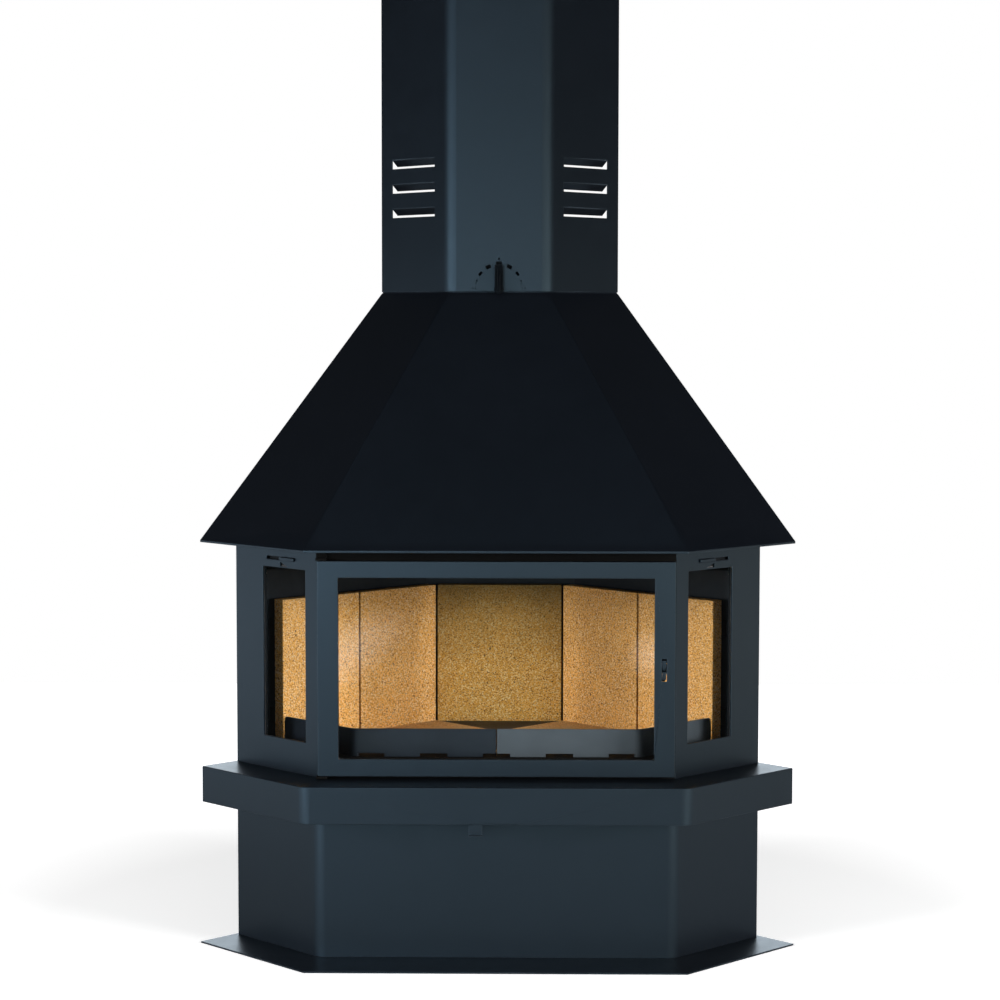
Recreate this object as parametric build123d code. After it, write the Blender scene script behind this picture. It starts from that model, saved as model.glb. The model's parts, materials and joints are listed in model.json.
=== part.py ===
from build123d import *
import os
from math import cos, radians, sin, sqrt, tan

# A corner wood-burning fireplace in painted sheet steel. Millimetres, +Z up, the front towards -Y.
# The origin lies on the floor, in the middle of the width and depth. Every plan is a hexagon:
# a front, two 45-degree sides, two 45-degree faces along the room's walls, and a flat rear.

# Clearances
sheet_gap = 0.5
slide_gap = 0.3
running_gap = 0.05

# Round folds of the plinth, the ledge and the casing, measured outside
fold_r = 35.0

# Floor plate and plinth
overall_depth = 626.0
floor_plate_w = 1110.0
floor_plate_front_w = 686.0
floor_plate_t = 3.0
plinth_t = 2.0
plinth_lap = 25.0
plinth_flange = 20.0

# Ledge
ledge_w = 1100.0
ledge_front_w = 687.0
ledge_setback = 6.0
ledge_top_z = 335.0
ledge_band_h = 67.0
ledge_t = 3.0
ledge_edge_r = 1.8
ledge_flange = 40.0
ledge_return = 25.0
ledge_overhang = 94.0

# Primary air register, a slide on the ledge's bottom flange
register_end_web = 8.0
register_d = 34.0
register_t = 2.0
register_clear = 1.0
register_tab_w = 24.0
register_tab_t = 3.0
register_tab_drop = 22.0
register_tab_back = 6.5
register_foot = 6.0
register_slot_gap = 1.5
register_rest_x = -36.0
register_reach = 41.0
register_lift_gap = 0.4
register_rail_w = 1.6
hold_down_w = 20.0
end_mark_r = 2.0
inlet_w = 24.0
inlet_d = 12.0
inlet_back = 16.0

# Firebox body
body_w = 982.0
body_front_w = 650.0
body_rear_gap = 20.0
body_t = 4.0
body_h = 430.0
top_plate_t = 4.0
throat_margin = 60.0

# Hearth, floor bricks, wall boards and sill
hearth_t = 5.0
floor_brick_t = 28.0
floor_joint_setback = 193.0
brick_t = 25.0
brick_h = 300.0
brick_joint = 1.0
inner_board_w = 198.5
board_joint = 4.0
back_joint = 2.5
board_end_gap = 64.0
rail_t = 27.5
rear_rail_t = 26.0
rail_h = 30.0
rail_rises = (60.0, 230.0)
rail_inset = 10.0
sill_w = 40.0
sill_t = 3.0

# Grate, ash pan and the box that holds it
grate_w = 256.0
grate_d = 222.0
grate_setback = 113.0
grate_tongue_w = 20.0
grate_t = 10.0
grate_recess = 1.0
grate_rim_w = 8.0
grate_bearing = 17.0
grate_bar_end = 18.0
grate_slot_w = 10.0
grate_slot_pitch = 22.0
grate_gap = 1.5
ash_box_depth = 78.0
ash_box_t = 3.0
ash_pan_t = 1.5
ash_pan_gap = 2.0
ash_pan_recess = 1.0
ash_grip_w = 60.0
ash_grip_h = 16.0
ash_grip_drop = 8.0

# Door
door_side_gap = 2.0
door_bottom_gap = 6.0
door_top_margin = 33.0
door_depth = 16.0
door_gap = 4.0
door_t = 3.0
door_return_t = 2.0
door_edge_r = 1.5
stile_w = 37.5
low_rail_h = 31.0
high_rail_h = 30.0
glass_t = 4.0
glass_lap = 8.0
tape_t = 1.0
retainer_w = 8.6
retainer_t = 1.5
retainer_h = 6.0
retainer_lip = 1.0
retainer_tab_w = 14.0
retainer_tab_l = 12.0
tab_dx = 150.0
tab_dz = 115.0
door_screw_r = 2.5
door_screw_head_r = 4.5
door_screw_head_h = 3.0
hinge_inset = 7.0
hinge_depth = 8.0
hinge_pin_r = 3.0
hinge_pin_h = 25.0
hinge_bush_w = 10.0
hinge_bracket_t = 4.0
hinge_bracket_w = 20.0
hinge_leg_h = 18.0

# Latch
latch_height = 195.0
latch_clear = 2.7
latch_slot_w = 9.0
latch_slot_h = 41.0
latch_cam_t = 7.0
latch_cam_r = 21.0
latch_cam_h = 35.0
latch_recess = 1.0
latch_key_h = 6.0
latch_key_depth = 12.0
latch_hub_r = 8.0
latch_pin_r = 3.0
latch_pin_end = 0.6
latch_ear_t = 1.2
latch_ear_h = 16.0
latch_ear_rim = 3.0
hook_in_r = 23.4
hook_out_r = 29.0
hook_from = -60.0
hook_to = 5.0
hook_arm_w = 7.0
hook_arm_turn = 8.0
keeper_pin_r = 4.0
keeper_dy = 14.0
keeper_dz = 12.0
keeper_ear_t = 3.0
keeper_ear_rim = 3.0
keeper_clear = 1.0
frame_slot_w = 15.2
frame_slot_h = 64.0

# Side windows and their air slides, counted along the 45-degree face from its front edge
window_s0 = 33.0
window_w = 122.0
window_rise = 59.5
window_top_margin = 54.0
window_lap = 5.5
side_tape_t = 1.0
side_retainer_t = 3.0
side_retainer_w = 15.0
side_retainer_step = 1.0
side_screw_out = 10.0
side_screw_end = 15.0
slider_slot_s0 = 62.0
slider_rise = 17.0
slider_slot_h = 6.0
slider_tab_w = 41.0
slider_tab_h = 4.8
slider_tab_out = 4.0
slider_travel = 40.0
slider_t = 3.0
slider_plate_w = 58.0
slider_plate_h = 17.0
slider_guide_t = 2.0
slider_guide_end = 12.0
slider_guide_rim = 6.0
wedge_s0 = 83.0
wedge_w = 22.0
wedge_rise = 2.6
wedge_h = 8.5

# Log guards
guard_setback = 33.0
guard_side_gap = 67.2
guard_end_gap = 4.2
guard_h = 52.0
guard_t = 3.0
guard_split = 2.0
guard_notch_w = 50.0
guard_notch_h = 6.3
guard_notch_pitch = 115.0
guard_bend_r = 28.0
guard_end_r = 8.0

# Baffle
baffle_drop = 65.0
baffle_t = 4.0
baffle_setback = 153.0
baffle_margin = 6.0
baffle_side_gap = 25.0
baffle_rest_w = 25.0

# Smoke dome, flue and damper
flue_r = 100.0
flue_t = 1.5
flue_strap_gap = 2.0
flue_seat = 1.5
flue_stand = 40.0
socket_h = 50.0
socket_gap = 0.3
socket_cone_h = 4.0
dome_t = 3.0
dome_h = 191.0
dome_margin = 40.0
dome_rim = 12.0
collar_t = 3.0
collar_h = 50.0
collar_gap = 0.25
damper_rise = 4.0
shaft_r = 5.0
shaft_clear = 2.0
flap_gap = 3.5
flap_t = 3.0
bush_r = 8.0
bush_h = 8.0
bush_gap = 1.0
lever_w = 16.0
lever_h = 46.0
lever_t = 7.0
lever_stand_off = 8.0
lever_end_r = 3.0
fin_out = 12.0
fin_t = 5.0
fin_drop = 6.0
hub_r = 9.0
hub_depth = 4.5

# Hood and its brackets
hood_w = 1102.0
hood_front_w = 680.0
hood_drop = 10.5
hood_lip_h = 4.0
hood_h = 463.5
hood_t = 2.0
hood_flange = 25.0
hood_return = 20.0
hood_upstand_h = 22.0
bracket_t = 3.0
bracket_w = 30.0
bracket_x = 180.0
bracket_foot = 30.0
bracket_end_gap = 8.0

# Chimney casing and the straps that hold it to the walls
casing_w = 464.0
casing_front_w = 192.0
casing_front_gap = 27.5
casing_gap = 2.5
casing_h = 579.5
casing_t = 2.0
casing_return = 20.0
casing_seat = 1.0
louvre_count = 3
louvre_w = 122.0
louvre_h = 18.0
louvre_s0 = 39.5
louvre_rise = 144.0
louvre_pitch = 47.3
louvre_turn = 48.0
dial_in_r = 43.7
dial_angles = (0, 25, 50, 72, 87)
dial_thick = 9.0
dial_thin_rate = 0.08
dial_length = 11.5
dial_short_rate = 0.06
dot_r = 2.0
dot_gap = 5.0
strap_t = 3.0
strap_h = 40.0
strap_low_rise = 49.5
strap_top_drop = 60.0
wall_hole_r = 4.5

# Fixing screws
screw_r = 3.0
screw_head_r = 5.5
screw_head_h = 3.5
base_screw_l = 14.0
base_screw_pitch = 200.0


def plan(front_w, full_w, y0, y1):
    """Corners of a hexagonal plan, anticlockwise from its front left corner."""
    a, b = front_w / 2, full_w / 2
    tip = y0 + b - a
    c = b - (y1 - tip)
    return [(-a, y0), (a, y0), (b, tip), (c, y1), (-c, y1), (-b, tip)]


def plan_by_planes(y0, side_c, wall_c, y1):
    """The same hexagon, from its front, its faces |x| - y = side_c and |x| + y = wall_c, and its rear."""
    return plan(2 * (y0 + side_c), side_c + wall_c, y0, y1)


# Places that follow from the sizes above: plan lines first, then heights
root2 = sqrt(2)
front_y = -overall_depth / 2
rear_y = overall_depth / 2
ledge_front_y = front_y + ledge_setback
body_front_y = ledge_front_y + ledge_overhang
body_rear_y = rear_y - body_rear_gap
flue_y = rear_y - strap_t - flue_strap_gap - flue_r
casing_front_y = flue_y - flue_r - casing_front_gap
floor_plan = plan(floor_plate_front_w, floor_plate_w, front_y, rear_y)
ledge_plan = plan(ledge_front_w, ledge_w, ledge_front_y, rear_y)
body_plan = plan(body_front_w, body_w, body_front_y, body_rear_y)
hood_plan = plan(hood_front_w, hood_w, front_y, rear_y)
casing_plan = plan(casing_front_w, casing_w, casing_front_y, rear_y)
side_c = body_front_w / 2 - body_front_y
wall_c = body_plan[2][0] + body_plan[2][1]
board_c = wall_c - (body_t + rail_t + brick_t) * root2
back_brick_y = body_rear_y - body_t - rear_rail_t - brick_t
back_brick_w = 2 * (board_c - back_brick_y)
board_run = (side_c - body_t * root2 + board_c - back_brick_w) / root2 - board_end_gap
outer_board_s = brick_joint + inner_board_w + board_joint
grate_front_y = body_front_y + grate_setback
grate_rear_y = grate_front_y + grate_d
tongue_y = back_brick_y - (back_brick_w - grate_tongue_w) / 2
floor_joint_y = body_front_y + floor_joint_setback
baffle_front_y = body_front_y + baffle_setback

hearth_z = ledge_top_z + hearth_t
brick_floor_z = hearth_z + floor_brick_t
ledge_bottom_z = ledge_top_z - ledge_band_h
flange_z = ledge_bottom_z + ledge_t
inlet_pitch = register_reach * 4 / 3
register_half_w = register_reach + inlet_pitch + inlet_w / 2 + register_end_web
body_top_z = ledge_top_z + body_h
dome_z = body_top_z + top_plate_t
dome_top_z = dome_z + dome_h
baffle_z = body_top_z - baffle_drop
hood_lip_z = body_top_z - hood_drop
hood_top_z = hood_lip_z + hood_h
casing_bottom_z = hood_top_z + casing_gap
casing_top_z = casing_bottom_z + casing_h
flue_top_z = casing_top_z + flue_stand
damper_z = casing_bottom_z + damper_rise
strap_zs = (casing_bottom_z + strap_low_rise, casing_top_z - strap_top_drop)

ash_w = grate_w - 2 * grate_bearing
ash_front_y = grate_front_y + grate_bearing
ash_rear_y = grate_rear_y - grate_bearing

door_w = body_front_w - 2 * door_side_gap
door_bottom_z = ledge_top_z + door_bottom_gap
door_top_z = body_top_z - door_top_margin
door_back_y = body_front_y - door_gap
door_front_y = door_back_y - door_depth
glass_open_w = door_w - 2 * stile_w
glass_open_z = door_bottom_z + low_rail_h
glass_open_top_z = door_top_z - high_rail_h
retainer_y = door_front_y + door_t + tape_t + glass_t
rope_w = retainer_w - 2 * retainer_lip
hinge_x = -door_w / 2 + hinge_inset
hinge_y = door_back_y - hinge_depth

latch_x = glass_open_w / 2 + sheet_gap + retainer_w + latch_clear + latch_ear_t + latch_slot_w / 2
latch_z = door_bottom_z + latch_height
pivot_y = door_front_y + latch_recess + latch_cam_r

window_s1 = window_s0 + window_w
window_z0 = ledge_top_z + window_rise
window_z1 = body_top_z - window_top_margin
slider_z = window_z1 + slider_rise
slider_slot_s1 = slider_slot_s0 + slider_tab_w + slider_travel + 2 * sheet_gap
side_glass_d = body_t + side_tape_t

guard_y = body_front_y + guard_setback
guard_half_w = side_c - guard_side_gap * root2 + guard_y
guard_reach = (board_c - guard_end_gap * root2 - guard_half_w - guard_y) / 2

flap_r = flue_r - flue_t - flap_gap
collar_r = flue_r + collar_gap
knob_y = casing_front_y - lever_stand_off

FRONT, RIGHT, REAR_RIGHT, REAR, REAR_LEFT, LEFT = range(6)
side_face = Plane(origin=(body_front_w / 2, body_front_y, 0), x_dir=(1, 1, 0), z_dir=(1, -1, 0))
board_face = Plane(origin=(back_brick_w / 2, back_brick_y, 0), x_dir=(-1, 1, 0), z_dir=(1, 1, 0))
casing_side = Plane(origin=(casing_front_w / 2, casing_front_y, 0), x_dir=(1, 1, 0), z_dir=(1, -1, 0))
latch_face = Plane(origin=(latch_x - latch_cam_t / 2, pivot_y, latch_z), x_dir=(0, 1, 0), z_dir=(1, 0, 0))


def inset(points, d):
    """The outline moved inwards by d, edge by edge."""
    n = len(points)
    lines = []
    for i in range(n):
        p, q = Vector(*points[i]), Vector(*points[(i + 1) % n])
        u = (q - p).normalized()
        lines.append((p + Vector(-u.Y, u.X) * d, u))
    moved = []
    for i in range(n):
        (p, u), (q, v) = lines[i - 1], lines[i]
        k = ((q - p).X * v.Y - (q - p).Y * v.X) / (u.X * v.Y - u.Y * v.X)
        moved.append((p.X + u.X * k, p.Y + u.Y * k))
    return moved


def outline_face(points, z):
    return make_face(Polyline(*[(x, y, z) for x, y in points], close=True))


def prism(points, z0, z1):
    return extrude(outline_face(points, z0), z1 - z0, dir=(0, 0, 1))


def taper(low, high, z0, z1):
    """A solid between two outlines at two heights."""
    return loft([outline_face(low, z0), outline_face(high, z1)], ruled=True)


def block(x0, x1, y0, y1, z0, z1):
    place = Pos((x0 + x1) / 2, (y0 + y1) / 2, (z0 + z1) / 2)
    return place * Box(abs(x1 - x0), abs(y1 - y0), abs(z1 - z0))


def rod(r, start, end):
    """A round bar between two points."""
    p, q = Vector(*start), Vector(*end)
    return extrude(Plane(p, z_dir=q - p) * Circle(r), (q - p).length)


def wall_quad(points, i, t):
    inner = inset(points, t)
    j = (i + 1) % len(points)
    return [points[i], points[j], inner[j], inner[i]]


def walls(points, edges, t, z0, z1):
    """Mitred sheet walls of thickness t on the chosen edges of an outline."""
    return Part() + [prism(wall_quad(points, i, t), z0, z1) for i in edges]


def return_quad(points, t, length):
    """A return of the given length along the right wall, behind the right tip."""
    tip, inner = points[2], inset(points, t)[2]
    along, across = length / root2, t / root2
    end = (tip[0] - along, tip[1] + along)
    return [tip, end, (end[0] - across, end[1] - across), inner]


def round_prism(points, r, z0, z1):
    """A prism with its two front corners rounded, where r leaves a radius."""
    face = outline_face(points, z0)
    if r > 0:
        face = fillet(face.vertices().group_by(Axis.Y)[0], r)
    return extrude(face, z1 - z0, dir=(0, 0, 1))


def bent(points, r, t, z0, z1):
    """Sheet walls on the front and both sides, with folds of radius r outside."""
    shell = round_prism(points, r, z0, z1) - round_prism(inset(points, t), r - t, z0, z1)
    return shell - walls(points, (REAR_RIGHT, REAR, REAR_LEFT), t, z0, z1)


def folded(points, t, z0, z1, back_return):
    """One upright folded sheet: front, both 45-degree sides and a return behind each tip."""
    lap = prism(return_quad(points, t, back_return), z0, z1)
    return bent(points, fold_r, t, z0, z1) + lap + mirrored(lap)


def flared(low, high, t, z0, z1, back_return):
    """The same sheet between two outlines, with sharp folds."""
    sheet = Part() + [taper(wall_quad(low, i, t), wall_quad(high, i, t), z0, z1)
                      for i in (LEFT, FRONT, RIGHT)]
    lap = taper(return_quad(low, t, back_return), return_quad(high, t, back_return), z0, z1)
    return sheet + lap + mirrored(lap)


def mirrored(piece):
    return mirror(piece, about=Plane.YZ)


def group(solids):
    return Compound(children=[Part() + s for s in solids])


def pair(solid):
    return group([solid, mirrored(solid)])


def on_side(s0, s1, d0, d1, z0, z1):
    """A block on the right window face: s along it, d inwards from its outside."""
    return side_face * block(s0, s1, z0, z1, -d1, -d0)


def on_boards(s0, s1, d0, d1, z0, z1):
    """A block along the right wall boards: s from the back brick, d outwards from their faces."""
    return board_face * block(-s1, -s0, z0, z1, d0, d1)


# Fixing screws: each place is a point under the head, the head's direction and the shank's length

def base_screw_places():
    """Screws that hold hearth, ledge and plinth together, under the front sill."""
    run = inset(body_plan, plinth_t + plinth_flange / 2)
    points = [(x, run[0][1]) for x in (-base_screw_pitch, 0, base_screw_pitch)]
    mid_x, mid_y = (run[1][0] + run[2][0]) / 2, (run[1][1] + run[2][1]) / 2
    points += [(-mid_x, mid_y), (mid_x, mid_y)]
    return [((x, y, hearth_z), (0, 0, 1), base_screw_l) for x, y in points]


def side_screw_places():
    """Studs on the back of both side panels, whose nuts hold the window retainers."""
    d = side_glass_d + glass_t + side_retainer_t
    made = []
    for s in (window_s0 - side_screw_out, window_s1 + side_screw_out):
        for z in (window_z0 + side_screw_end, window_z1 - side_screw_end):
            p = (side_face * Pos(s, z, -d)).position
            made.append(((p.X, p.Y, p.Z), (-1, 1, 0), d - body_t))
            made.append(((-p.X, p.Y, p.Z), (1, 1, 0), d - body_t))
    return made


def hood_screw_places():
    """Screws down through each bracket's foot into the hood's flange."""
    made = []
    z = hood_lip_z + hood_t + bracket_t
    for frame, reach in bracket_frames():
        p = (frame * Pos(0, z, reach - (hood_flange + bracket_end_gap) / 2)).position
        made.append(((p.X, p.Y, p.Z), (0, 0, 1), hood_t + bracket_t))
    return made


def strap_screw_places():
    """Screws from inside, through strap and casing return."""
    tip = casing_plan[2]
    along, depth = casing_return / 2 / root2, (casing_t + strap_t) / root2
    x, y = tip[0] - along - depth, tip[1] + along - depth
    return [((sign * x, y, z + strap_h / 2), (-sign, -1, 0), casing_t + strap_t)
            for sign in (-1, 1) for z in strap_zs]


def screw(place):
    p, axis, length = place
    p, axis = Vector(*p), Vector(*axis).normalized()
    head = extrude(Plane(p, z_dir=axis) * RegularPolygon(screw_head_r, 6), screw_head_h)
    return head + rod(screw_r, p, p - axis * length)


def screw_holes(places):
    cuts = Part()
    for p, axis, length in places:
        p, axis = Vector(*p), Vector(*axis).normalized()
        cuts += rod(screw_r, p - axis * length, p + axis * screw_head_h)
    return cuts


def fixing_screws():
    places = base_screw_places() + side_screw_places() + hood_screw_places() + strap_screw_places()
    return group([screw(place) for place in places])


# Base

def floor_plate():
    return prism(floor_plan, 0, floor_plate_t)


def plinth_front():
    z1 = ledge_top_z - ledge_t
    shell = folded(body_plan, plinth_t, floor_plate_t, z1, plinth_lap)
    flange = bent(inset(body_plan, plinth_t), fold_r - plinth_t, plinth_flange, z1 - plinth_t, z1)
    return shell + flange - screw_holes(base_screw_places())


def plinth_back():
    z1 = ledge_top_z - ledge_t - plinth_t
    return walls(inset(body_plan, plinth_t), (REAR_RIGHT, REAR, REAR_LEFT), plinth_t, floor_plate_t, z1)


def ledge_shelf():
    z1 = ledge_top_z - ledge_t
    shelf = round_prism(ledge_plan, fold_r, z1, ledge_top_z)
    shelf += folded(ledge_plan, ledge_t, ledge_bottom_z, z1, ledge_return)
    shelf += bent(ledge_plan, fold_r, ledge_flange, ledge_bottom_z, flange_z)
    margin = ash_box_t + sheet_gap
    shelf -= block(-ash_w / 2 - margin, ash_w / 2 + margin, ash_front_y - margin, ash_rear_y + margin,
                   z1, ledge_top_z)
    shelf -= register_slot()
    for cut in inlets(0, ledge_bottom_z, ledge_t):
        shelf -= cut
    y0, y1 = ledge_front_y, ledge_front_y + ledge_t
    for x in (-register_reach, register_reach):
        shelf -= rod(end_mark_r, (x, y0, ledge_bottom_z), (x, y1, ledge_bottom_z))
    brim = [edge for edge in shelf.edges().group_by(Axis.Z)[-1] if edge.center().Y < ledge_plan[2][1]]
    return fillet(brim, ledge_edge_r) - screw_holes(base_screw_places())


def register_slot():
    gap = register_slot_gap
    half = register_reach + register_tab_w / 2 + gap
    y = ledge_front_y + ledge_t + register_tab_back
    return block(-half, half, y - gap, y + register_tab_t + gap, ledge_bottom_z, flange_z)


def inlets(shift, z, t):
    """Three air windows, spaced so that the slide's webs cover them all at its far end."""
    y = ledge_front_y + ledge_t + inlet_back
    return [block(x - inlet_w / 2, x + inlet_w / 2, y, y + inlet_d, z, z + t)
            for x in (shift - inlet_pitch, shift, shift + inlet_pitch)]


def air_register():
    """The slide, shown near its open end, with a tab that hangs below the ledge."""
    x, y = register_rest_x, ledge_front_y + ledge_t
    y0 = y + register_clear
    plate = block(x - register_half_w, x + register_half_w, y0, y0 + register_d,
                  flange_z, flange_z + register_t)
    for cut in inlets(x + register_reach, flange_z, register_t):
        plate -= cut
    x0, x1 = x - register_tab_w / 2, x + register_tab_w / 2
    tab_y, foot_z = y + register_tab_back, ledge_bottom_z - register_tab_drop
    plate += block(x0, x1, tab_y, tab_y + register_tab_t, foot_z, flange_z)
    return plate + block(x0, x1, tab_y - register_foot, tab_y, foot_z, foot_z + register_t)


def register_guides():
    """A rear rail that keeps the slide in line, and two hold-down strips over it."""
    z = flange_z + register_t + register_lift_gap
    y0 = ledge_front_y + ledge_t
    rail_y = y0 + register_clear + register_d + slide_gap
    y1 = rail_y + register_rail_w
    half = register_half_w + register_reach
    rail = block(-half, half, rail_y, y1, flange_z, z)
    return rail + [block(x, x + hold_down_w, y0, y1, z, z + register_t) for x in (-half, half - hold_down_w)]


# Hearth and fire boards

def hearth_plate():
    plate = prism(inset(body_plan, body_t), ledge_top_z, hearth_z)
    plate -= block(-ash_w / 2, ash_w / 2, ash_front_y, ash_rear_y, ledge_top_z, hearth_z)
    return plate - screw_holes(base_screw_places())


def front_sill():
    """A folded strip under the log guards."""
    outer = inset(body_plan, body_t + sheet_gap)
    top = walls(outer, (LEFT, FRONT, RIGHT), sill_w, brick_floor_z - sill_t, brick_floor_z)
    leg = inset(outer, sill_w - sill_t)
    return top + walls(leg, (LEFT, FRONT, RIGHT), sill_t, hearth_z, brick_floor_z - sill_t)


def ash_box():
    z0, t = ledge_top_z - ash_box_depth, ash_box_t
    box = block(-ash_w / 2 - t, ash_w / 2 + t, ash_front_y - t, ash_rear_y + t, z0, ledge_top_z)
    return box - block(-ash_w / 2, ash_w / 2, ash_front_y, ash_rear_y, z0 + t, ledge_top_z)


def ash_pan():
    z0, z1 = ledge_top_z - ash_box_depth + ash_box_t, hearth_z - ash_pan_recess
    half, y0, y1, t = ash_w / 2 - ash_pan_gap, ash_front_y + ash_pan_gap, ash_rear_y - ash_pan_gap, ash_pan_t
    pan = block(-half, half, y0, y1, z0, z1) - block(-half + t, half - t, y0 + t, y1 - t, z0 + t, z1)
    grip_z, mid_y = z1 - ash_grip_drop, (y0 + y1) / 2
    return pan - block(-half - t, half + t, mid_y - ash_grip_w / 2, mid_y + ash_grip_w / 2,
                       grip_z - ash_grip_h, grip_z)


def hearth_outline():
    """The floor inside the sill and the wall boards."""
    d = body_t + sheet_gap + sill_w + brick_joint / 2
    return plan_by_planes(body_front_y + d, side_c - d * root2, board_c - brick_joint / 2 * root2,
                          back_brick_y - brick_joint / 2)


def grate_plan(gap, z0, z1):
    """The grate's rectangle, and its tongue, which widens between the floor bricks towards the rear."""
    half, tongue, front = grate_w / 2 + gap, grate_tongue_w / 2 + gap, grate_front_y - gap
    flare, rear = tongue_y + gap, back_brick_y - brick_joint + gap
    corner_c = back_brick_y - back_brick_w / 2 - gap
    made = block(-half, half, front, grate_rear_y + gap, z0, z1)
    made += block(-tongue, tongue, front, flare, z0, z1)
    made += prism([(flare - corner_c, flare), (rear - corner_c, rear), (corner_c - rear, rear),
                   (corner_c - flare, flare)], z0, z1)
    return made


def grate():
    z1, edge = brick_floor_z - grate_recess, grate_w / 2 - sheet_gap
    y0, y1 = grate_front_y + sheet_gap, grate_rear_y - sheet_gap
    plate = grate_plan(-sheet_gap, z1 - grate_t, z1)
    plate += block(-edge, edge, y0, y1, hearth_z, z1)
    inner = edge - grate_rim_w
    plate -= block(-inner, inner, y0 + grate_rim_w, y1 - grate_rim_w, hearth_z, z1 - grate_t)
    count = int(2 * inner // grate_slot_pitch)
    for k in range(count):
        x = (k - (count - 1) / 2) * grate_slot_pitch
        plate -= block(x - grate_slot_w / 2, x + grate_slot_w / 2, y0 + grate_bar_end, y1 - grate_bar_end,
                       hearth_z, z1)
    return plate


def floor_brick(rear_part):
    """Right-hand floor brick, rear or side part."""
    board = prism(hearth_outline(), hearth_z, brick_floor_z)
    board -= grate_plan(grate_gap, hearth_z, brick_floor_z)
    gap = brick_joint / 2
    y0, y1 = (floor_joint_y + gap, rear_y) if rear_part else (front_y, floor_joint_y - gap)
    return board & block(gap, body_w, y0, y1, hearth_z, brick_floor_z)


def back_brick():
    half = back_brick_w / 2 - back_joint
    return block(-half, half, back_brick_y, back_brick_y + brick_t, hearth_z, hearth_z + brick_h)


def rear_brick(number):
    """A wall board on the right, counted from the back brick."""
    s0, s1 = ((brick_joint, brick_joint + inner_board_w), (outer_board_s, board_run))[number]
    return on_boards(s0, s1, 0, brick_t, hearth_z, hearth_z + brick_h)


def brick_rails():
    """Strips that stand the boards off the steel."""
    half = back_brick_w / 2 - rail_inset
    rails = []
    for rise in rail_rises:
        z = hearth_z + rise
        side = on_boards(rail_inset, board_run - rail_inset, brick_t, brick_t + rail_t, z, z + rail_h)
        rear = block(-half, half, back_brick_y + brick_t, body_rear_y - body_t, z, z + rail_h)
        rails += [side, mirrored(side), rear]
    return group(rails)


# Firebox shell

def firebox_back():
    return walls(body_plan, (REAR_RIGHT, REAR, REAR_LEFT), body_t, ledge_top_z, body_top_z)


def front_frame():
    plate = walls(body_plan, (FRONT,), body_t, ledge_top_z, body_top_z)
    plate -= pane_box(sheet_gap, body_front_y, body_front_y + body_t)
    return plate - block(latch_x - frame_slot_w / 2, latch_x + frame_slot_w / 2,
                         body_front_y, body_front_y + body_t,
                         latch_z - frame_slot_h / 2, latch_z + frame_slot_h / 2)


def side_panel():
    """The right 45-degree face with its window, slider slot and wedge-shaped opening mark."""
    panel = walls(body_plan, (RIGHT,), body_t, ledge_top_z, body_top_z)
    panel -= on_side(window_s0, window_s1, 0, body_t, window_z0, window_z1)
    panel -= on_side(slider_slot_s0, slider_slot_s1, 0, body_t,
                     slider_z - slider_slot_h / 2, slider_z + slider_slot_h / 2)
    s1, z0 = wedge_s0 + wedge_w, window_z1 + wedge_rise
    mark = make_face(Polyline((wedge_s0, z0, 0), (s1, z0, 0), (s1, z0 + wedge_h, 0), close=True))
    return panel - side_face * extrude(mark, -body_t, dir=(0, 0, 1))


def top_plate():
    return prism(body_plan, body_top_z, dome_z) - prism(inset(body_plan, throat_margin), body_top_z, dome_z)


def baffle_plate():
    d = body_t + baffle_margin
    side, wall = side_c - baffle_side_gap * root2, wall_c - d * root2
    outline = plan_by_planes(baffle_front_y, side, wall, body_rear_y - d)
    return prism(outline, baffle_z, baffle_z + baffle_t)


def baffle_supports():
    return walls(inset(body_plan, body_t), (REAR_RIGHT, REAR, REAR_LEFT), baffle_rest_w,
                 baffle_z - baffle_t, baffle_z)


# Side windows and their air slides

def side_pane(lap, d0, d1):
    return on_side(window_s0 - lap, window_s1 + lap, d0, d1, window_z0 - lap, window_z1 + lap)


def side_glass():
    return side_pane(window_lap, side_glass_d, side_glass_d + glass_t)


def side_gasket():
    return side_pane(window_lap, body_t, side_glass_d) - side_pane(0, body_t, side_glass_d)


def side_retainer():
    """A frame behind the glass, level with the glass at the top to clear the air slide."""
    d0, w = side_glass_d + glass_t, side_retainer_w
    d1 = d0 + side_retainer_t
    frame = on_side(window_s0 - w, window_s1 + w, d0, d1, window_z0 - w, window_z1 + window_lap)
    return frame - side_pane(side_retainer_step, d0, d1) - screw_holes(side_screw_places())


def air_slider():
    """The slide, closed, with its tab through the panel's slot."""
    tab_s = slider_slot_s0 + sheet_gap
    s0 = tab_s - (slider_plate_w - slider_tab_w) / 2
    d0 = body_t + slide_gap
    plate = on_side(s0, s0 + slider_plate_w, d0, d0 + slider_t,
                    slider_z - slider_plate_h / 2, slider_z + slider_plate_h / 2)
    return plate + on_side(tab_s, tab_s + slider_tab_w, -slider_tab_out, d0,
                           slider_z - slider_tab_h / 2, slider_z + slider_tab_h / 2)


def slider_guide():
    """A channel behind the slide that carries it and keeps it against the panel."""
    s0, s1 = slider_slot_s0 - slider_guide_end, slider_slot_s1 + slider_guide_end
    half = slider_plate_h / 2 + slide_gap
    z0, z1 = slider_z - half, slider_z + half
    d = body_t + slider_t + 2 * slide_gap
    channel = on_side(s0, s1, body_t, d + slider_guide_t, z0 - slider_guide_t, z1 + slider_guide_rim)
    return channel - on_side(s0, s1, body_t, d, z0, z1)


# Door

def pane_box(lap, y0, y1):
    """The door's glass opening, widened by lap on every side."""
    half = glass_open_w / 2 + lap
    return block(-half, half, y0, y1, glass_open_z - lap, glass_open_top_z + lap)


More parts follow.
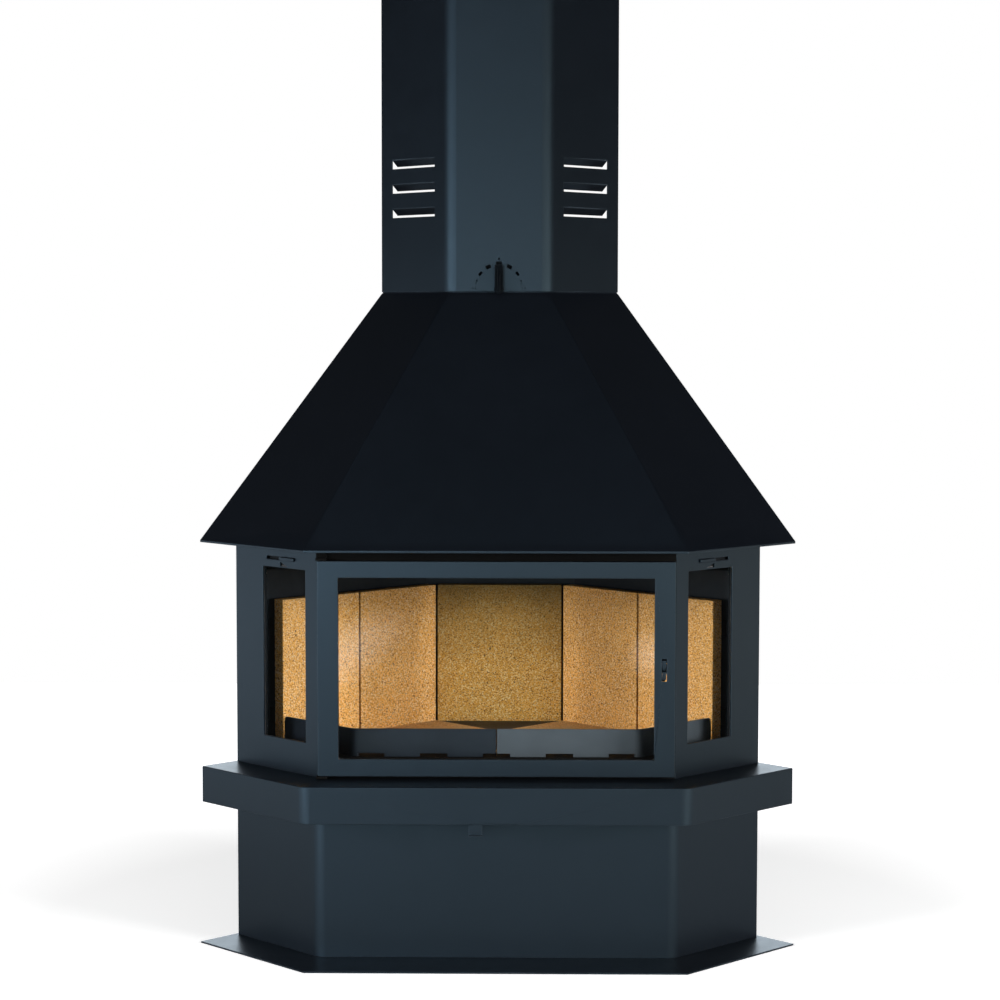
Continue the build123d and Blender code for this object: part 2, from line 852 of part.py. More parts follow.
def door_frame():
    half, t = door_w / 2, door_return_t
    front = block(-half, half, door_front_y, door_front_y + door_t, door_bottom_z, door_top_z)
    back = block(-half, half, door_front_y + door_t, door_back_y, door_bottom_z, door_top_z)
    back -= block(-half + t, half - t, door_front_y + door_t, door_back_y, door_bottom_z + t, door_top_z - t)
    frame = front + back - pane_box(0, door_front_y, door_front_y + door_t)
    uprights = frame.edges().filter_by(Axis.Z).group_by(Axis.Y)[0].sort_by(Axis.X)
    frame = fillet([uprights[0], uprights[-1]], door_edge_r)
    frame -= rod(hinge_pin_r + slide_gap, (hinge_x, hinge_y, door_bottom_z), (hinge_x, hinge_y, door_top_z))
    return frame - block(latch_x - latch_slot_w / 2, latch_x + latch_slot_w / 2,
                         door_front_y, door_front_y + door_t,
                         latch_z - latch_slot_h / 2, latch_z + latch_slot_h / 2)


def door_glass():
    return pane_box(glass_lap, retainer_y - glass_t, retainer_y)


def door_glass_tape():
    y0, y1 = door_front_y + door_t, door_front_y + door_t + tape_t
    return pane_box(glass_lap, y0, y1) - pane_box(sheet_gap, y0, y1)


def retainer_tabs():
    """Places of the screw tabs, and whether their strip is upright."""
    out = sheet_gap + retainer_w + retainer_tab_l / 2
    x, z_mid = glass_open_w / 2 + out, (glass_open_z + glass_open_top_z) / 2
    upright = [(sx * x, z_mid + dz, True) for sx in (-1, 1) for dz in (-tab_dz, tab_dz)]
    return upright + [(sx * tab_dx, z, False) for sx in (-1, 1)
                      for z in (glass_open_z - out, glass_open_top_z + out)]


def door_glass_retainers():
    """Four channel strips that clamp the glass and hold the rope."""
    y0, y1, y2 = retainer_y, retainer_y + retainer_t, retainer_y + retainer_h
    strips = pane_box(sheet_gap + retainer_w, y0, y2) - pane_box(sheet_gap, y0, y2)
    groove = sheet_gap + retainer_lip
    strips -= pane_box(groove + rope_w, y1, y2) - pane_box(groove, y1, y2)
    for x, z, upright in retainer_tabs():
        w, h = (retainer_tab_l, retainer_tab_w) if upright else (retainer_tab_w, retainer_tab_l)
        strips += block(x - w / 2, x + w / 2, y0, y1, z - h / 2, z + h / 2)
        strips -= rod(door_screw_r, (x, y0, z), (x, y1, z))
    half = door_w / 2
    for z in (glass_open_z - 2 * sheet_gap, glass_open_top_z + sheet_gap):
        strips -= block(-half, half, y0, y2, z, z + sheet_gap)
    return group(strips.solids())


def door_rope_gasket():
    y0, y1 = retainer_y + retainer_t, body_front_y - slide_gap
    groove = sheet_gap + retainer_lip
    return pane_box(groove + rope_w, y0, y1) - pane_box(groove, y0, y1)


def door_screws():
    y0, y1 = door_front_y + door_t, retainer_y + retainer_t
    return group([rod(door_screw_r, (x, y0, z), (x, y1, z))
                  + rod(door_screw_head_r, (x, y1, z), (x, y1 + door_screw_head_h, z))
                  for x, z, _ in retainer_tabs()])


def hinge_bushes():
    """Square blocks bored for the hinge pins, in the door's left corners."""
    r, t = hinge_bush_w / 2, door_return_t
    made = []
    for z0 in (door_bottom_z + t, door_top_z - t - hinge_pin_h):
        z1 = z0 + hinge_pin_h
        bore = rod(hinge_pin_r + running_gap, (hinge_x, hinge_y, z0), (hinge_x, hinge_y, z1))
        made.append(block(hinge_x - r, hinge_x + r, hinge_y - r, hinge_y + r, z0, z1) - bore)
    return group(made)


def hinge_brackets():
    """Tongues fixed to the front frame above and below the door, with their pins."""
    t, half = hinge_bracket_t, hinge_bracket_w / 2
    gap = (door_bottom_gap - t) / 2
    x0, x1 = hinge_x - half, hinge_x + half
    low_z, high_z = ledge_top_z + gap, door_top_z + gap
    low = block(x0, x1, door_front_y, body_front_y, low_z, low_z + t)
    low += rod(hinge_pin_r, (hinge_x, hinge_y, low_z), (hinge_x, hinge_y, door_bottom_z + hinge_pin_h))
    high = block(x0, x1, door_front_y, body_front_y, high_z, high_z + t)
    high += block(x0, x1, door_back_y, body_front_y, high_z, high_z + hinge_leg_h)
    high += rod(hinge_pin_r, (hinge_x, hinge_y, door_top_z - hinge_pin_h), (hinge_x, hinge_y, high_z + t))
    return group([low, high])


# Latch

def latch_cam():
    """A turning catch with a flat front in the stile's slot, a key gap, and a hook behind."""
    r, h = latch_cam_r, latch_cam_h / 2
    profile = make_face(Polyline((-r, -h), (-r, h), (0, latch_hub_r), (0, -latch_hub_r), close=True))
    profile += Circle(latch_hub_r)
    reach, low, high = 2 * hook_out_r, radians(hook_from), radians(hook_to)
    sector = make_face(Polyline((0, 0), (reach * cos(low), reach * sin(low)),
                                (reach * cos(high), reach * sin(high)), close=True))
    profile += (Circle(hook_out_r) - Circle(hook_in_r)) & sector
    arm = (hook_in_r + hook_out_r) / 2
    profile += Rot(0, 0, hook_from + hook_arm_turn) * Pos(arm / 2, 0) * Rectangle(arm, hook_arm_w)
    profile -= Circle(latch_pin_r + running_gap)
    profile -= Pos(-r, 0) * Rectangle(latch_key_depth * 2, latch_key_h)
    return extrude(latch_face * profile, latch_cam_t)


def latch_bracket():
    """Two ears behind the stile that carry the cam."""
    y0, y1 = door_front_y + door_t, pivot_y + latch_pin_r + latch_ear_rim
    ears = []
    for x in (latch_x - latch_slot_w / 2 - latch_ear_t, latch_x + latch_slot_w / 2):
        ear = block(x, x + latch_ear_t, y0, y1, latch_z - latch_ear_h / 2, latch_z + latch_ear_h / 2)
        ears.append(ear - rod(latch_pin_r, (x, pivot_y, latch_z), (x + latch_ear_t, pivot_y, latch_z)))
    return group(ears)


def latch_pin():
    half = latch_slot_w / 2 + latch_ear_t + latch_pin_end
    return rod(latch_pin_r, (latch_x - half, pivot_y, latch_z), (latch_x + half, pivot_y, latch_z))


def latch_keeper():
    """A cross pin on two ears behind the front frame, for the hook to catch."""
    y, z, t = pivot_y + keeper_dy, latch_z + keeper_dz, keeper_ear_t
    r = keeper_pin_r + keeper_ear_rim
    half = frame_slot_w / 2 + keeper_clear
    keeper = rod(keeper_pin_r, (latch_x - half - t, y, z), (latch_x + half + t, y, z))
    for x in (latch_x - half - t, latch_x + half):
        keeper += block(x, x + t, body_front_y + body_t, y + r, z - r, z + r)
    return keeper


# Log guards

def log_guard():
    """A loose L-shaped plate on the right, with notches along its foot."""
    y0, y1, t = guard_y, guard_y + guard_t, guard_t / root2
    end = (guard_half_w + guard_reach, guard_y + guard_reach)
    inner_bend = (guard_half_w - guard_t * tan(radians(22.5)), y1)
    outline = [(guard_split / 2, y0), (guard_half_w, y0), end, (end[0] - t, end[1] + t),
               inner_bend, (guard_split / 2, y1)]
    z0, z1 = brick_floor_z, brick_floor_z + guard_h
    guard = prism(outline, z0, z1)
    bend = guard.edges().filter_by(Axis.Z).sort_by_distance((guard_half_w, guard_y, (z0 + z1) / 2))[0]
    guard = fillet([bend], guard_bend_r)
    hollow = guard.edges().filter_by(Axis.Z).sort_by_distance((*inner_bend, (z0 + z1) / 2))[0]
    guard = fillet([hollow], guard_bend_r - guard_t)
    top_end = guard.edges().sort_by_distance((end[0] - t / 2, end[1] + t / 2, z1))[0]
    guard = fillet([top_end], guard_end_r)
    for number in (0, 1, 2):
        x = number * guard_notch_pitch
        guard -= block(x - guard_notch_w / 2, x + guard_notch_w / 2, y0, y1, z0, z0 + guard_notch_h)
    return guard


# Smoke path

def smoke_dome():
    """A tapered hood over the firebox, its cover plate and the collar that takes the pipe."""
    r = collar_r + collar_t + sheet_gap
    low = inset(body_plan, dome_margin)
    side, wall = (r + 2 * dome_rim) * root2 - flue_y, flue_y + r * root2
    high = plan_by_planes(flue_y - r - dome_rim, side, wall, flue_y + r)
    z1 = dome_top_z - dome_t
    dome = taper(low, high, dome_z, z1) - taper(inset(low, dome_t), inset(high, dome_t), dome_z, z1)
    dome += prism(high, z1, dome_top_z)
    axis_low, axis_top = (0, flue_y, dome_top_z), (0, flue_y, dome_top_z + collar_h)
    dome += rod(collar_r + collar_t, axis_low, axis_top) - rod(collar_r, axis_low, axis_top)
    return dome - rod(flue_r - flue_t - flue_seat, (0, flue_y, z1), axis_low)


def flue_pipe():
    """The pipe, seated in the dome's collar, with a socket at its top for the next pipe."""
    inner, wide = flue_r - flue_t, flue_r + socket_gap
    outer, z2 = wide + flue_t, flue_top_z - socket_h
    z1 = z2 - socket_cone_h
    points = [(inner, dome_top_z), (flue_r, dome_top_z), (flue_r, z1), (outer, z2),
              (outer, flue_top_z), (wide, flue_top_z), (wide, z2), (inner, z1)]
    profile = make_face(Polyline(*[(r, 0, z) for r, z in points], close=True))
    pipe = Pos(0, flue_y, 0) * revolve(profile, Axis.Z)
    return pipe - rod(bush_r, (0, flue_y - 2 * flue_r, damper_z), (0, flue_y + 2 * flue_r, damper_z))


def damper_bushes():
    made = []
    for sign in (-1, 1):
        start = (0, flue_y + sign * (flap_r + bush_gap), damper_z)
        end = (0, flue_y + sign * (flap_r + bush_gap + bush_h), damper_z)
        made.append(rod(bush_r, start, end) - rod(shaft_r + running_gap, start, end))
    return group(made)


def damper_shaft():
    """A shaft from the lever through the flue, slotted for the flap."""
    shaft = rod(shaft_r, (0, knob_y, damper_z), (0, flue_y + flap_r + bush_gap + bush_h, damper_z))
    return shaft - block(-flap_t / 2, flap_t / 2, flue_y - flap_r, flue_y + flap_r,
                         damper_z - flap_r, damper_z + flap_r)


def damper_flap():
    """A round plate, open while the lever points up."""
    return rod(flap_r, (-flap_t / 2, flue_y, damper_z), (flap_t / 2, flue_y, damper_z))


def damper_knob():
    """Hub, lever and finger fin in front of the casing."""
    y0, y1 = knob_y - lever_t, knob_y + hub_depth
    lever = block(-lever_w / 2, lever_w / 2, y0, knob_y, damper_z, damper_z + lever_h)
    lever = fillet(lever.edges().filter_by(Axis.Y).group_by(Axis.Z)[-1], lever_end_r)
    knob = lever + rod(hub_r, (0, y0, damper_z), (0, y1, damper_z))
    low = damper_z - hub_r / 2
    fin = make_face(Polyline((0, y0, low), (0, y0 - fin_out, low), (0, y0 - fin_out, damper_z + lever_h / 2),
                             (0, y0, damper_z + lever_h - fin_drop), close=True))
    knob += extrude(fin, fin_t / 2, dir=(1, 0, 0), both=True)
    return knob - rod(shaft_r, (0, knob_y, damper_z), (0, y1, damper_z))


# Hood and casing

def hood_shell():
    """The flared hood with its lip and flange, and the neck on which the casing sits."""
    lip_z, edges = hood_lip_z + hood_lip_h, (LEFT, FRONT, RIGHT)
    hood = flared(hood_plan, casing_plan, hood_t, lip_z, hood_top_z, hood_return)
    hood += flared(hood_plan, hood_plan, hood_t, hood_lip_z, lip_z, hood_return)
    hood += walls(hood_plan, edges, hood_flange, hood_lip_z, hood_lip_z + hood_t)
    neck_d, neck_top_z = casing_t + sheet_gap, hood_top_z + hood_upstand_h
    shelf_d = neck_d + hood_t
    hood += walls(casing_plan, edges, shelf_d, hood_top_z - hood_t, hood_top_z)
    seat = inset(casing_plan, casing_seat)
    hood += bent(seat, fold_r - casing_seat, shelf_d - casing_seat, hood_top_z, casing_bottom_z)
    hood += bent(inset(casing_plan, neck_d), fold_r - neck_d, hood_t, casing_bottom_z, neck_top_z)
    r = shaft_r + shaft_clear
    hood -= block(-r, r, casing_front_y, casing_front_y + shelf_d, hood_top_z, neck_top_z)
    return hood - screw_holes(hood_screw_places())


def bracket(reach):
    """A Z-shaped bracket in a face's own frame: out of the face is +Z, up is +Y."""
    t, half, low = bracket_t, bracket_w / 2, hood_lip_z + hood_t
    piece = block(-half, half, dome_z, dome_z + t, -bracket_foot, t)
    piece += block(-half, half, low, dome_z + t, 0, t)
    return piece + block(-half, half, low, low + t, 0, reach - bracket_end_gap)


def bracket_frames():
    """Frame and reach of each hood bracket: two on the front, one on each side."""
    front = Plane(origin=(0, body_front_y, 0), x_dir=(1, 0, 0), z_dir=(0, -1, 0))
    left = Plane(origin=(-body_front_w / 2, body_front_y, 0), x_dir=(1, -1, 0), z_dir=(-1, -1, 0))
    middle = (body_w - body_front_w) / root2 / 2
    front_reach, side_reach = body_front_y - front_y, (hood_front_w / 2 - front_y - side_c) / root2
    return [(front * Pos(-bracket_x, 0, 0), front_reach), (front * Pos(bracket_x, 0, 0), front_reach),
            (left * Pos(-middle, 0, 0), side_reach), (side_face * Pos(middle, 0, 0), side_reach)]


def hood_brackets():
    brackets = group([frame * bracket(reach) for frame, reach in bracket_frames()])
    return brackets - screw_holes(hood_screw_places())


def louvres():
    """Openings and their pushed-in flaps, on the right casing face."""
    holes, flaps = [], []
    s1 = louvre_s0 + louvre_w
    for number in range(louvre_count):
        z0 = casing_bottom_z + louvre_rise + number * louvre_pitch
        z1 = z0 + louvre_h
        holes.append(casing_side * block(louvre_s0, s1, z0, z1, -casing_t, 0))
        flap = block(louvre_s0 + sheet_gap, s1 - sheet_gap, sheet_gap - louvre_h, casing_t / 2, 0, casing_t)
        flaps.append(casing_side * Pos(0, z1, -casing_t) * Rot(louvre_turn, 0, 0) * flap)
    return holes, flaps


def dial_marks():
    """Cut-through marks round the lever: the nearer to upright, the thicker."""
    y0, y1 = casing_front_y, casing_front_y + casing_t
    cuts = []
    for angle in dial_angles:
        thick, length = dial_thick - dial_thin_rate * angle, dial_length - dial_short_rate * angle
        for sign in ((1,) if angle == 0 else (-1, 1)):
            spot = Pos(0, 0, damper_z) * Rot(0, sign * angle, 0)
            cuts.append(spot * block(-length / 2, length / 2, y0, y1, dial_in_r, dial_in_r + thick))
            if angle in (dial_angles[0], dial_angles[-1]):
                dot_z = dial_in_r + thick + dot_gap
                cuts.append(spot * rod(dot_r, (0, y0, dot_z), (0, y1, dot_z)))
    return cuts


def casing_shell():
    casing = folded(casing_plan, casing_t, casing_bottom_z, casing_top_z, casing_return)
    for hole, flap in zip(*louvres()):
        casing = casing - hole - mirrored(hole) + flap + mirrored(flap)
    r, y0, y1 = shaft_r + shaft_clear, casing_front_y, casing_front_y + casing_t
    casing -= rod(r, (0, y0, damper_z), (0, y1, damper_z)) + block(-r, r, y0, y1, casing_bottom_z, damper_z)
    for cut in dial_marks():
        casing -= cut
    return casing - screw_holes(strap_screw_places())


def casing_straps():
    """Two bands behind the casing that hold it to both walls."""
    outline = inset(plan(casing_front_w, casing_w, casing_front_y, rear_y + casing_t), casing_t)
    tip, rear = outline[2], outline[3]
    x, y = (tip[0] + rear[0]) / 2, (tip[1] + rear[1]) / 2
    made = []
    for z in strap_zs:
        band = walls(outline, (REAR_RIGHT, REAR, REAR_LEFT), strap_t, z, z + strap_h)
        hole_z = z + strap_h / 2
        hole = rod(wall_hole_r, (x - strap_t, y - strap_t, hole_z), (x, y, hole_z))
        made.append(band - hole - mirrored(hole) - screw_holes(strap_screw_places()))
    return group(made)


def build():
    """Every node of the fireplace by name."""
    right = {
        "floor_brick_rear": floor_brick(True),
        "floor_brick_side": floor_brick(False),
        "side_panel": side_panel(),
        "side_glass": side_glass(),
        "air_slider": air_slider(),
        "log_guard": log_guard(),
    }
    nodes = {
        "floor_plate": floor_plate(),
        "plinth_front": plinth_front(),
        "plinth_back": plinth_back(),
        "ledge_shelf": ledge_shelf(),
        "air_register": air_register(),
        "register_guides": register_guides(),
        "hearth_plate": hearth_plate(),
        "front_sill": front_sill(),
        "ash_box": ash_box(),
        "ash_pan": ash_pan(),
        "grate": grate(),
        "back_brick": back_brick(),
        "brick_rails": brick_rails(),
        "firebox_back": firebox_back(),
        "front_frame": front_frame(),
        "top_plate": top_plate(),
        "baffle_plate": baffle_plate(),
        "baffle_supports": baffle_supports(),
        "side_glass_gaskets": pair(side_gasket()),
        "side_glass_retainers": pair(side_retainer()),
        "slider_guides": pair(slider_guide()),
        "door_frame": door_frame(),
        "door_glass": door_glass(),
        "door_glass_tape": door_glass_tape(),
        "door_glass_retainers": door_glass_retainers(),
        "door_rope_gasket": door_rope_gasket(),
        "door_screws": door_screws(),
        "hinge_bushes": hinge_bushes(),
        "hinge_brackets": hinge_brackets(),
        "latch_cam": latch_cam(),
        "latch_pin": latch_pin(),
        "latch_bracket": latch_bracket(),
        "latch_keeper": latch_keeper(),
        "smoke_dome": smoke_dome(),
        "flue_pipe": flue_pipe(),
        "damper_bushes": damper_bushes(),
        "damper_shaft": damper_shaft(),
        "damper_flap": damper_flap(),
        "damper_knob": damper_knob(),
        "hood_shell": hood_shell(),
        "hood_brackets": hood_brackets(),
        "casing_shell": casing_shell(),
        "casing_straps": casing_straps(),
        "fixing_screws": fixing_screws(),
    }
    for name, piece in right.items():
        nodes[name + "_right"] = piece
        nodes[name + "_left"] = mirrored(piece)
    for number, name in enumerate(("inner", "outer")):
        board = rear_brick(number)
        nodes["rear_brick_right_" + name] = board
        nodes["rear_brick_left_" + name] = mirrored(board)
    return nodes


os.makedirs("parts", exist_ok=True)
for node, shape in build().items():
    export_step(shape, "parts/" + node + ".step")
    print(node, len(shape.solids()), round(shape.volume))
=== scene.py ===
"""Corner fireplace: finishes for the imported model, its woven seals and a plain studio."""

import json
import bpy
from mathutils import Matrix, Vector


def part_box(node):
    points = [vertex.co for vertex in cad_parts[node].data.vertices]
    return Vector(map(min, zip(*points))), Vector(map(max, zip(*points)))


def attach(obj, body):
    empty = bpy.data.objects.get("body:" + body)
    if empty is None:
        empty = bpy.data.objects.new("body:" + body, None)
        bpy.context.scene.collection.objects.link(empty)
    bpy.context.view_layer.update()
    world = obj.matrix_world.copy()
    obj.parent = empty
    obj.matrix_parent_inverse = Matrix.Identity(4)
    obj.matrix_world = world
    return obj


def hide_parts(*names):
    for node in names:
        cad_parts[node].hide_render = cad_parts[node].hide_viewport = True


bl_info = {
    "name": "Corner fireplace",
    "version": (1, 0, 0),
    "blender": (4, 5, 0),
    "location": "View3D > Sidebar > Fireplace",
    "description": "Finishes the sheet steel, boards, glass and woven seals of a corner fireplace",
    "category": "Object",
}

from math import cos, pi, radians, sin

import bpy
from bpy.props import FloatProperty, FloatVectorProperty, IntProperty, PointerProperty
from mathutils import Matrix, Vector

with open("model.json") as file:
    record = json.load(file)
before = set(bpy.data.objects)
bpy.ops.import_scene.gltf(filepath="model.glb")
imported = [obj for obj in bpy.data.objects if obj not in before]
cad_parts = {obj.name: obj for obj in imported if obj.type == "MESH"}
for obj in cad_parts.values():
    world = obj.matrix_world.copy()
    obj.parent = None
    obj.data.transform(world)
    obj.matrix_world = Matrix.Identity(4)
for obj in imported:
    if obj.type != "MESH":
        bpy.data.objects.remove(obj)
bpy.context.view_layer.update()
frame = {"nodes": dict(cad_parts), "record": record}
nodes = frame["nodes"]
finish_of = {part["node"]: part["material_slot"] for part in frame["record"]["subparts"]}

# Pieces that are treated apart from the others of their finish. The casing's shell has no bevel,
# because one would close the small marks of its dial

FLOOR_BOARDS = ("floor_brick_rear_left", "floor_brick_rear_right", "floor_brick_side_left",
                "floor_brick_side_right")
BACK_BOARD = ("back_brick",)
LEFT_GUARD = ("log_guard_left",)
RIGHT_GUARD = ("log_guard_right",)
LEVER = ("damper_knob",)
UNEASED = ("casing_shell",)
# Painted shade: front_frame, front_sill and hinge_brackets are blackened as they lie in shade
SOOTED_AND_SHADE_BLACK = ("baffle_plate", "baffle_supports", "top_plate", "brick_rails", "ash_box", "ash_pan",
          "damper_flap", "front_frame", "front_sill", "hinge_brackets")
OUTER_STEEL = ("firebox_back", "smoke_dome", "flue_pipe", "casing_straps", "hood_brackets")

# The black steels: colour, roughness, share of soot, strength of the grit, specular level and the
# bevel on their edges

STEELS = {
    "black steel": ((0.007, 0.0078, 0.009), 0.62, 0.30, 0.16, 0.16, 0.0004),
    "pipe black": ((0.016, 0.018, 0.021), 0.52, 0.10, 0.16, 0.40, 0.0004),
    # Soot inside, and painted shade on the front frame, the sill and the hinge brackets
    "sooted and shade-black steel": ((0.005, 0.0048, 0.0045), 0.80, 0.70, 0.16, 0.06, 0.0004),
    "log guard steel": ((0.008, 0.011, 0.016), 0.34, 0.05, 0.02, 0.80, 0.0006),
    # Painted reflection: the right guard's copy is paler, where the right guard catches more light
    "painted-reflection log guard steel": ((0.050, 0.060, 0.069), 0.34, 0.05, 0.02, 0.80, 0.0006),
    "lever steel": ((0.0012, 0.0017, 0.0026), 0.36, 0.0, 0.04, 0.08, 0.0006),
}
STEEL_PIECES = {"pipe black": OUTER_STEEL, "sooted and shade-black steel": SOOTED_AND_SHADE_BLACK, "log guard steel": LEFT_GUARD,
                "painted-reflection log guard steel": RIGHT_GUARD, "lever steel": LEVER}
STEEL_SHEEN = (0.70, 0.87, 1.0, 1)

# Bevels on the grate and the fittings, the reach within which points are joined, and the turn from
# which an edge is eased

GRATE_EASING, FITTING_EASING = 0.0012, 0.0003
WELD_REACH = 0.00001
EDGE_ANGLE = radians(38)

# Where the finishes change: painted shade up the wall boards, a film down the panes, and a painted
# shadow on the floor boards behind the log guards

TOP_SHADE_Z = (0.47, 0.66)
FILM_Z = (0.44, 0.375)
GUARD_SHADOW_Y = (-0.115, -0.145)

# The rope's bend at the corners, the section of its yarns and how they lie, and its core

ROPE_BEND = 0.010
YARN_SECTION = ((1, 0), (0.5, 0.85), (-0.5, 0.85), (-1, 0), (0, -0.8))
YARN_SPREAD, YARN_THICKNESS = 0.36, 0.0006
YARN_LEVEL, YARN_SWING = 0.84, 0.07
CORE_SHARE, CORE_STEP = 0.80, 6
CORE_ANGLES = [k * pi / 5 for k in range(10)]

# The tapes' inner bend at the corners, their weave, and the shares of the thickness at their edges
# and between them

DOOR_TAPE_W = 0.0075
TAPE_BEND = 0.0005
TAPE_SWING, TAPE_EDGE, TAPE_MIDDLE = 0.16, 0.30, 0.78

# The right side window, measured along the 45-degree face from the body's front corner

SIDE_CORNER = (0.325, -0.213)
SIDE_WINDOW = (0.033, 0.155)
SIDE_WINDOW_Z = (0.3945, 0.711)
SIDE_TAPE_W = 0.0055
SIDE_TAPE_DEPTH = (0.004, 0.005)

# The camera, fitted to the photograph's straight edges

CAMERA_PLACE = (0.06012, -4.5961, 1.1571)
CAMERA_LENS = 87.78
CAMERA_YAW, CAMERA_PITCH, CAMERA_ROLL = -0.0123, 0.0718, -0.0013

# The studio. A rectangle is given by a corner and two edges. The front, corner and side panels and
# the lamp are those on the right, and are mirrored for the left. The floor's own light rises with
# the distance, over FLOOR_FADE

FLOOR = ((-2.4, -2.2, 0), (4.8, 0, 0), (0, 5.4, 0))
FLOOR_FADE = (0.9, 2.0)
FLOOR_LIFT = (0.45, 1.0)
FLOOR_IN_SHEEN, ROOM_IN_SHEEN = 0.5, 0.03
CLOTH_COLOUR = (0.004, 0.004, 0.004, 1)
CLOTH_X, CLOTH_Y, CLOTH_Z = 4.4, (-5.6, 3.4), (-1.2, 5.4)
FRONT_PANEL = ((0.45, -4.9, 0.28), (3.4, 0, 0), (0, 0, 1.22))
CORNER_PANEL = ((2.9, -4.85, -0.3), (1.35, 2.2, 0), (0, 0, 1.8))
SIDE_PANELS = (((4.3, -2.4, -0.6), (0, 2.25, 0), (0, 0, 1.5)),
               ((4.3, 0.65, -0.6), (0, 1.95, 0), (0, 0, 1.5)))
REAR_PANEL = ((-3.4, 4.6, 0.1), (6.8, 0, 0), (0, 0, 2.4))
OVERHEAD_PANEL = ((-2.2, -3.9, 4.6), (4.4, 0, 0), (0, 1.0, 0))
SIDE_SHARE, REAR_SHARE, OVERHEAD_SHARE = 0.33, 0.6, 0.25
LAMP_PLACE, LAMP_AIM, LAMP_SIZE = (3.7, -2.6, 1.2), (0, 0, 0.6), (1.2, 1.0)
COOL, WARM = (0.90, 1.0, 1.08, 1), (1.0, 1.0, 0.92, 1)

# For each side: its sign, the tint and share of its panels, and the share of its lamp. For each soft
# patch low in the front: its centre, half sizes, turn and strength

SIDES = {"left": (-1, COOL, 1.0, 1.0), "right": (1, WARM, 0.66, 1.15)}
PATCHES = {"patch_left": ((-0.68, -4.88, -0.10), (0.35, 0.12), radians(-31), 3.0),
           "patch_right": ((0.52, -4.88, -0.07), (0.11, 0.10), 0.0, 2.5)}


# Sizes and colours that can be changed

class FireplacePaint(bpy.types.PropertyGroup):
    """The stove paint on the outer sheets."""
    colour: FloatVectorProperty(name="Paint colour", description="Anthracite of the outer sheets",
                                default=(0.0036, 0.0044, 0.0066), size=3, min=0, max=1, subtype="COLOR")
    sheen: FloatVectorProperty(name="Paint sheen", description="Cool tint of the paint's soft shine",
                               default=(0.52, 0.79, 1.0), size=3, min=0, max=1, subtype="COLOR")
    grain: FloatProperty(name="Paint grain", description="Size of the fine texture of the sprayed paint",
                         default=0.0011, min=0.0002, max=0.01, unit="LENGTH")
    fold: FloatProperty(name="Fold radius", description="Radius at which the folds catch the light",
                        default=0.0016, min=0.0002, max=0.01, unit="LENGTH")
    easing: FloatProperty(name="Edge easing", description="Bevel on the cut edges of the sheets",
                          default=0.0005, min=0.0001, max=0.0008, unit="LENGTH")


class FireplaceBoards(bpy.types.PropertyGroup):
    """The speckled boards that line the firebox."""
    colour: FloatVectorProperty(name="Board colour", description="Ochre of the fire boards",
                                default=(0.74, 0.37, 0.085), size=3, min=0, max=1, subtype="COLOR")
    dark_grain: FloatVectorProperty(name="Dark grain", description="Colour of the dark mineral grains",
                                    default=(0.11, 0.052, 0.022), size=3, min=0, max=1, subtype="COLOR")
    pale_grain: FloatVectorProperty(name="Pale grain", description="Colour of the pale mineral grains",
                                    default=(0.80, 0.62, 0.38), size=3, min=0, max=1, subtype="COLOR")
    grain: FloatProperty(name="Grain size", description="Spacing of the larger grains",
                         default=0.0030, min=0.001, max=0.02, unit="LENGTH")
    easing: FloatProperty(name="Board edge", description="Rounding of the boards' edges",
                          default=0.0014, min=0.0002, max=0.005, unit="LENGTH")


class FireplaceSeals(bpy.types.PropertyGroup):
    """The plaited rope and the woven tapes."""
    rope_width: FloatProperty(name="Rope width", description="Width of the rope in its groove",
                              default=0.0066, min=0.002, max=0.02, unit="LENGTH")
    rope_turn: FloatProperty(name="Rope turn", description="Length in which a yarn goes once round",
                             default=0.026, min=0.01, max=0.1, unit="LENGTH")
    yarns: IntProperty(name="Yarns", description="Yarns that run each way round the rope",
                       default=6, min=3, max=12)
    thread: FloatProperty(name="Tape thread", description="Spacing of the threads in the tapes",
                          default=0.0016, min=0.0008, max=0.005, unit="LENGTH")
    colour: FloatVectorProperty(name="Yarn colour", description="Colour of the glass yarn",
                                default=(0.045, 0.045, 0.047), size=3, min=0, max=1, subtype="COLOR")


class FireplaceStudio(bpy.types.PropertyGroup):
    """The studio round the fireplace."""
    key_power: FloatProperty(name="Key light", description="Power of each soft front lamp",
                             default=215.0, min=0, max=2000, unit="POWER")
    fill: FloatProperty(name="Fill", description="Strength of the even light from all round",
                        default=0.26, min=0, max=2)
    panel: FloatProperty(name="Reflected panels", description="Brightness of the panels that the paint "
                         "and the glass reflect", default=4.5, min=0, max=20)
    floor: FloatVectorProperty(name="Floor colour", description="Colour of the plain floor",
                               default=(0.80, 0.80, 0.80), size=3, min=0, max=1, subtype="COLOR")


def shade(colour, factor=1.0):
    return tuple(min(c * factor, 1.0) for c in colour) + (1.0,)


# Node trees

